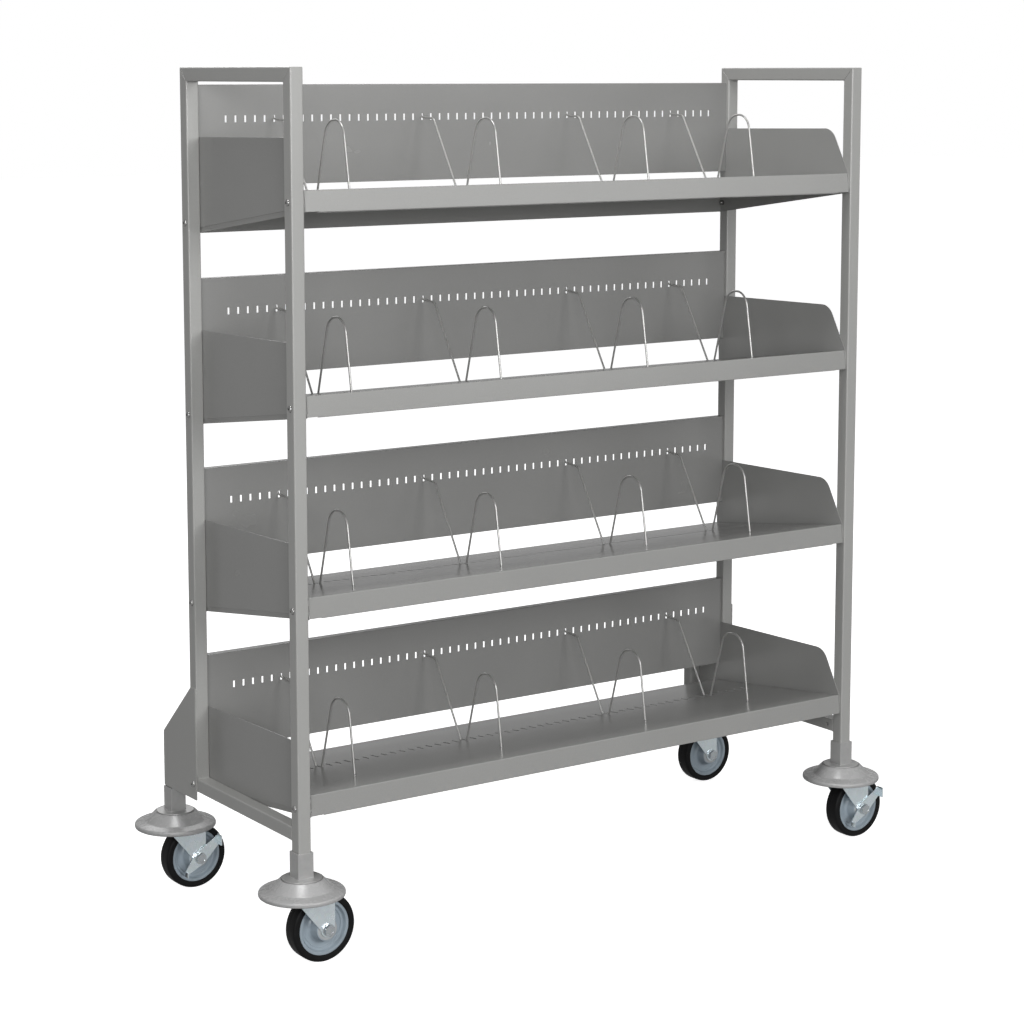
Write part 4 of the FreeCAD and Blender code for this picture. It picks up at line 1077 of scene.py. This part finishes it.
def leverPiece(name):
    # one plate: eye round the axle, wide pedal arm, narrow release arm, both tips turned out
    v = lever
    node = name + "_brake_lever"
    back = boxOf(node)[1].y
    middle = middleOf(name + "_wheel")
    eye = v["eye"]
    pedal = [(v["pedal"][0], v["pedal"][1] + way * v["pedalWidth"] / 2) for way in (-1, 1)]
    toe = [(-v["toe"][0], -v["toe"][1] + way * v["toeWidth"] / 2) for way in (1, -1)]

    def touch(tip, way):
        # angle on the eye where the line from a tip touches it
        return math.atan2(tip[1], tip[0]) + way * math.acos(eye / math.hypot(*tip))

    def arc(start, end):
        while end < start:
            end += 2 * math.pi
        steps = max(3, int((end - start) * 6))
        turns = [start + (end - start) * k / steps for k in range(steps + 1)]
        return [(eye * math.cos(turn), eye * math.sin(turn)) for turn in turns]
    full = 2 * math.pi
    outline = [*pedal, *arc(touch(pedal[1], 1), touch(toe[0], -1) % full),
               *toe, *arc(touch(toe[1], 1) % full, touch(pedal[0], -1))]
    face = back - v["plate"]
    shape = bmesh.new()
    loft(shape, [[(u + middle.x, y, w + middle.z) for y, u, w in ring]
                 for ring in plateRings(outline, face, back, v["rim"])])
    for tips, reach, sign in ((pedal, v["pedalTread"], 1), (toe, v["toeTread"], -1)):
        near = tips[0][0]
        far = near - sign * v["plate"]
        foot, top = sorted(point[1] for point in tips)
        tread = cleanLoop(roundedLoop([(near, back - 0.3), (near, face - reach),
                                       (far, face - reach), (far, back - 0.3)],
                                      [2.0, 1.0, 1.0, 0]))
        levels = [(foot, v["rim"]), (foot + v["rim"], 0), (top - v["rim"], 0), (top, v["rim"])]
        loft(shape, [[(point[0] + middle.x, point[1], level + middle.z)
                      for point in (offsetLoop(tread, rim) if rim else tread)]
                     for level, rim in levels])
    dressNode(shape, node, "_plate", casterZinc)


for name in corners:
    bumperPiece(name)
    wheelPieces(name)
    roundedCopy(name + "_caster_socket", socketSteel, caster["socketEdge"], 2)
    roundedCopy(name + "_fork", casterZinc, caster["forkEdge"], 3)
    axlePiece(name)
for name in braked:
    leverPiece(name)
roundedCopy("kingpins", casterZinc, caster["kingpinEdge"], 2)
print("casters done")


# Floor, light and camera

studio = {
    "floorTone": 0.90, "floorBounce": 0.12, "floorShine": 0.45, "floorDrop": 0.0005,
    "floorReach": 30, "floorLift": 0.86, "liftFrom": 1.6, "liftTo": 4.0,  # fades to white
    "roomLight": 0.015, "roomShine": 0.45, "aim": (0, 0, 0.8),
    "lamps": {
        "key": {"at": (3.2, -4.7, 2.7), "size": 2.4, "power": 22},
        "front": {"at": (-2.6, -4.9, 1.6), "size": 2.4, "power": 92},
        "left": {"at": (-3.8, -2.4, 2.4), "size": 1.6, "power": 52},
        "over": {"at": (-0.9, -0.5, 4.8), "size": 1.6, "power": 88},
        "middle": {"at": (0.6, -5.2, 2.3), "size": 2.0, "power": 108},
        "back": {"at": (1.4, 4.4, 3.6), "size": 2.4, "power": 50}},
}
view = {"at": (-2.6989, -3.8702, 1.5537), "turn": 34.62, "dip": 7.34, "lens": 86.3, "shift": -0.12}


def floorMaterial():
    # pale where the camera sees it, dim where it lights the rack, and lifted to white far off
    material, tree, shader, place = startMaterial("studio_floor")
    tone, bounce = (studio["floorTone"],) * 3, (studio["floorBounce"],) * 3
    ray = tree.nodes.new("ShaderNodeLightPath").outputs
    cloud = spread(tree, addNoise(tree, place, 900, 2), 0, 1)
    seenTone = addMix(tree, cloud, tuple(channel * 0.99 for channel in tone), tone)
    feed(tree, shader, {"Base Color": addMix(tree, ray["Is Camera Ray"], bounce, seenTone),
                        "Roughness": 0.9, "Specular IOR Level": 0.1})
    away = tree.nodes.new("ShaderNodeVectorMath")
    away.operation = "LENGTH"
    feed(tree, away, {0: place})
    lift = spread(tree, away.outputs["Value"], studio["floorLift"], 1.0,
                  studio["liftFrom"], studio["liftTo"])
    reflected = addMath(tree, "MULTIPLY", ray["Is Glossy Ray"], studio["floorShine"])
    seen = addMath(tree, "MAXIMUM", ray["Is Camera Ray"], reflected)
    glow = addNode(tree, "ShaderNodeEmission", {"Strength": addMath(tree, "MULTIPLY", seen, lift)})
    add = addNode(tree, "ShaderNodeAddShader", {
        0: shader.outputs["BSDF"], 1: glow.outputs["Emission"]})
    feed(tree, tree.nodes["Material Output"], {"Surface": add.outputs["Shader"]})
    return material


def setFloor():
    reach = studio["floorReach"]
    mesh = bpy.data.meshes.new("floor")
    square = [(-reach, -reach, 0), (reach, -reach, 0), (reach, reach, 0), (-reach, reach, 0)]
    mesh.from_pydata(square, [], [(0, 1, 2, 3)])
    mesh.materials.append(floorMaterial())
    floor = addObject("floor", mesh)
    floor.location.z = -studio["floorDrop"]


def setRoom():
    # white to the camera, half as bright in mirrors, and nearly dark as a light
    world = bpy.data.worlds.new("studio")
    bpy.context.scene.world = world
    world.use_nodes = True
    tree = world.node_tree
    ray = tree.nodes.new("ShaderNodeLightPath").outputs
    unseen = addMix(tree, ray["Is Glossy Ray"], studio["roomLight"], studio["roomShine"], "FLOAT")
    strength = addMix(tree, ray["Is Camera Ray"], unseen, 1.0, "FLOAT")
    feed(tree, tree.nodes["Background"], {"Color": (1, 1, 1), "Strength": strength})


def setLamps():
    for label, look in studio["lamps"].items():
        data = bpy.data.lights.new(label + "_light", "AREA")
        data.shape = "DISK"
        data.size = look["size"]
        data.energy = look["power"]
        lamp = addObject(label + "_light", data)
        lamp.location = look["at"]
        aim = Vector(studio["aim"]) - Vector(look["at"])
        lamp.rotation_euler = aim.to_track_quat("-Z", "Y").to_euler()


def setCamera():
    data = bpy.data.cameras.new("camera")
    data.lens = view["lens"]
    data.sensor_width = 36
    data.shift_y = view["shift"]
    data.clip_end = 100
    camera = addObject("camera", data)
    camera.location = view["at"]
    camera.rotation_euler = (math.radians(90 - view["dip"]), 0, math.radians(-view["turn"]))
    bpy.context.scene.camera = camera


setFloor()
setRoom()
setLamps()
setCamera()
bpy.context.scene.view_settings.view_transform = "Standard"

bpy.context.view_layer.update()
print("scene done")
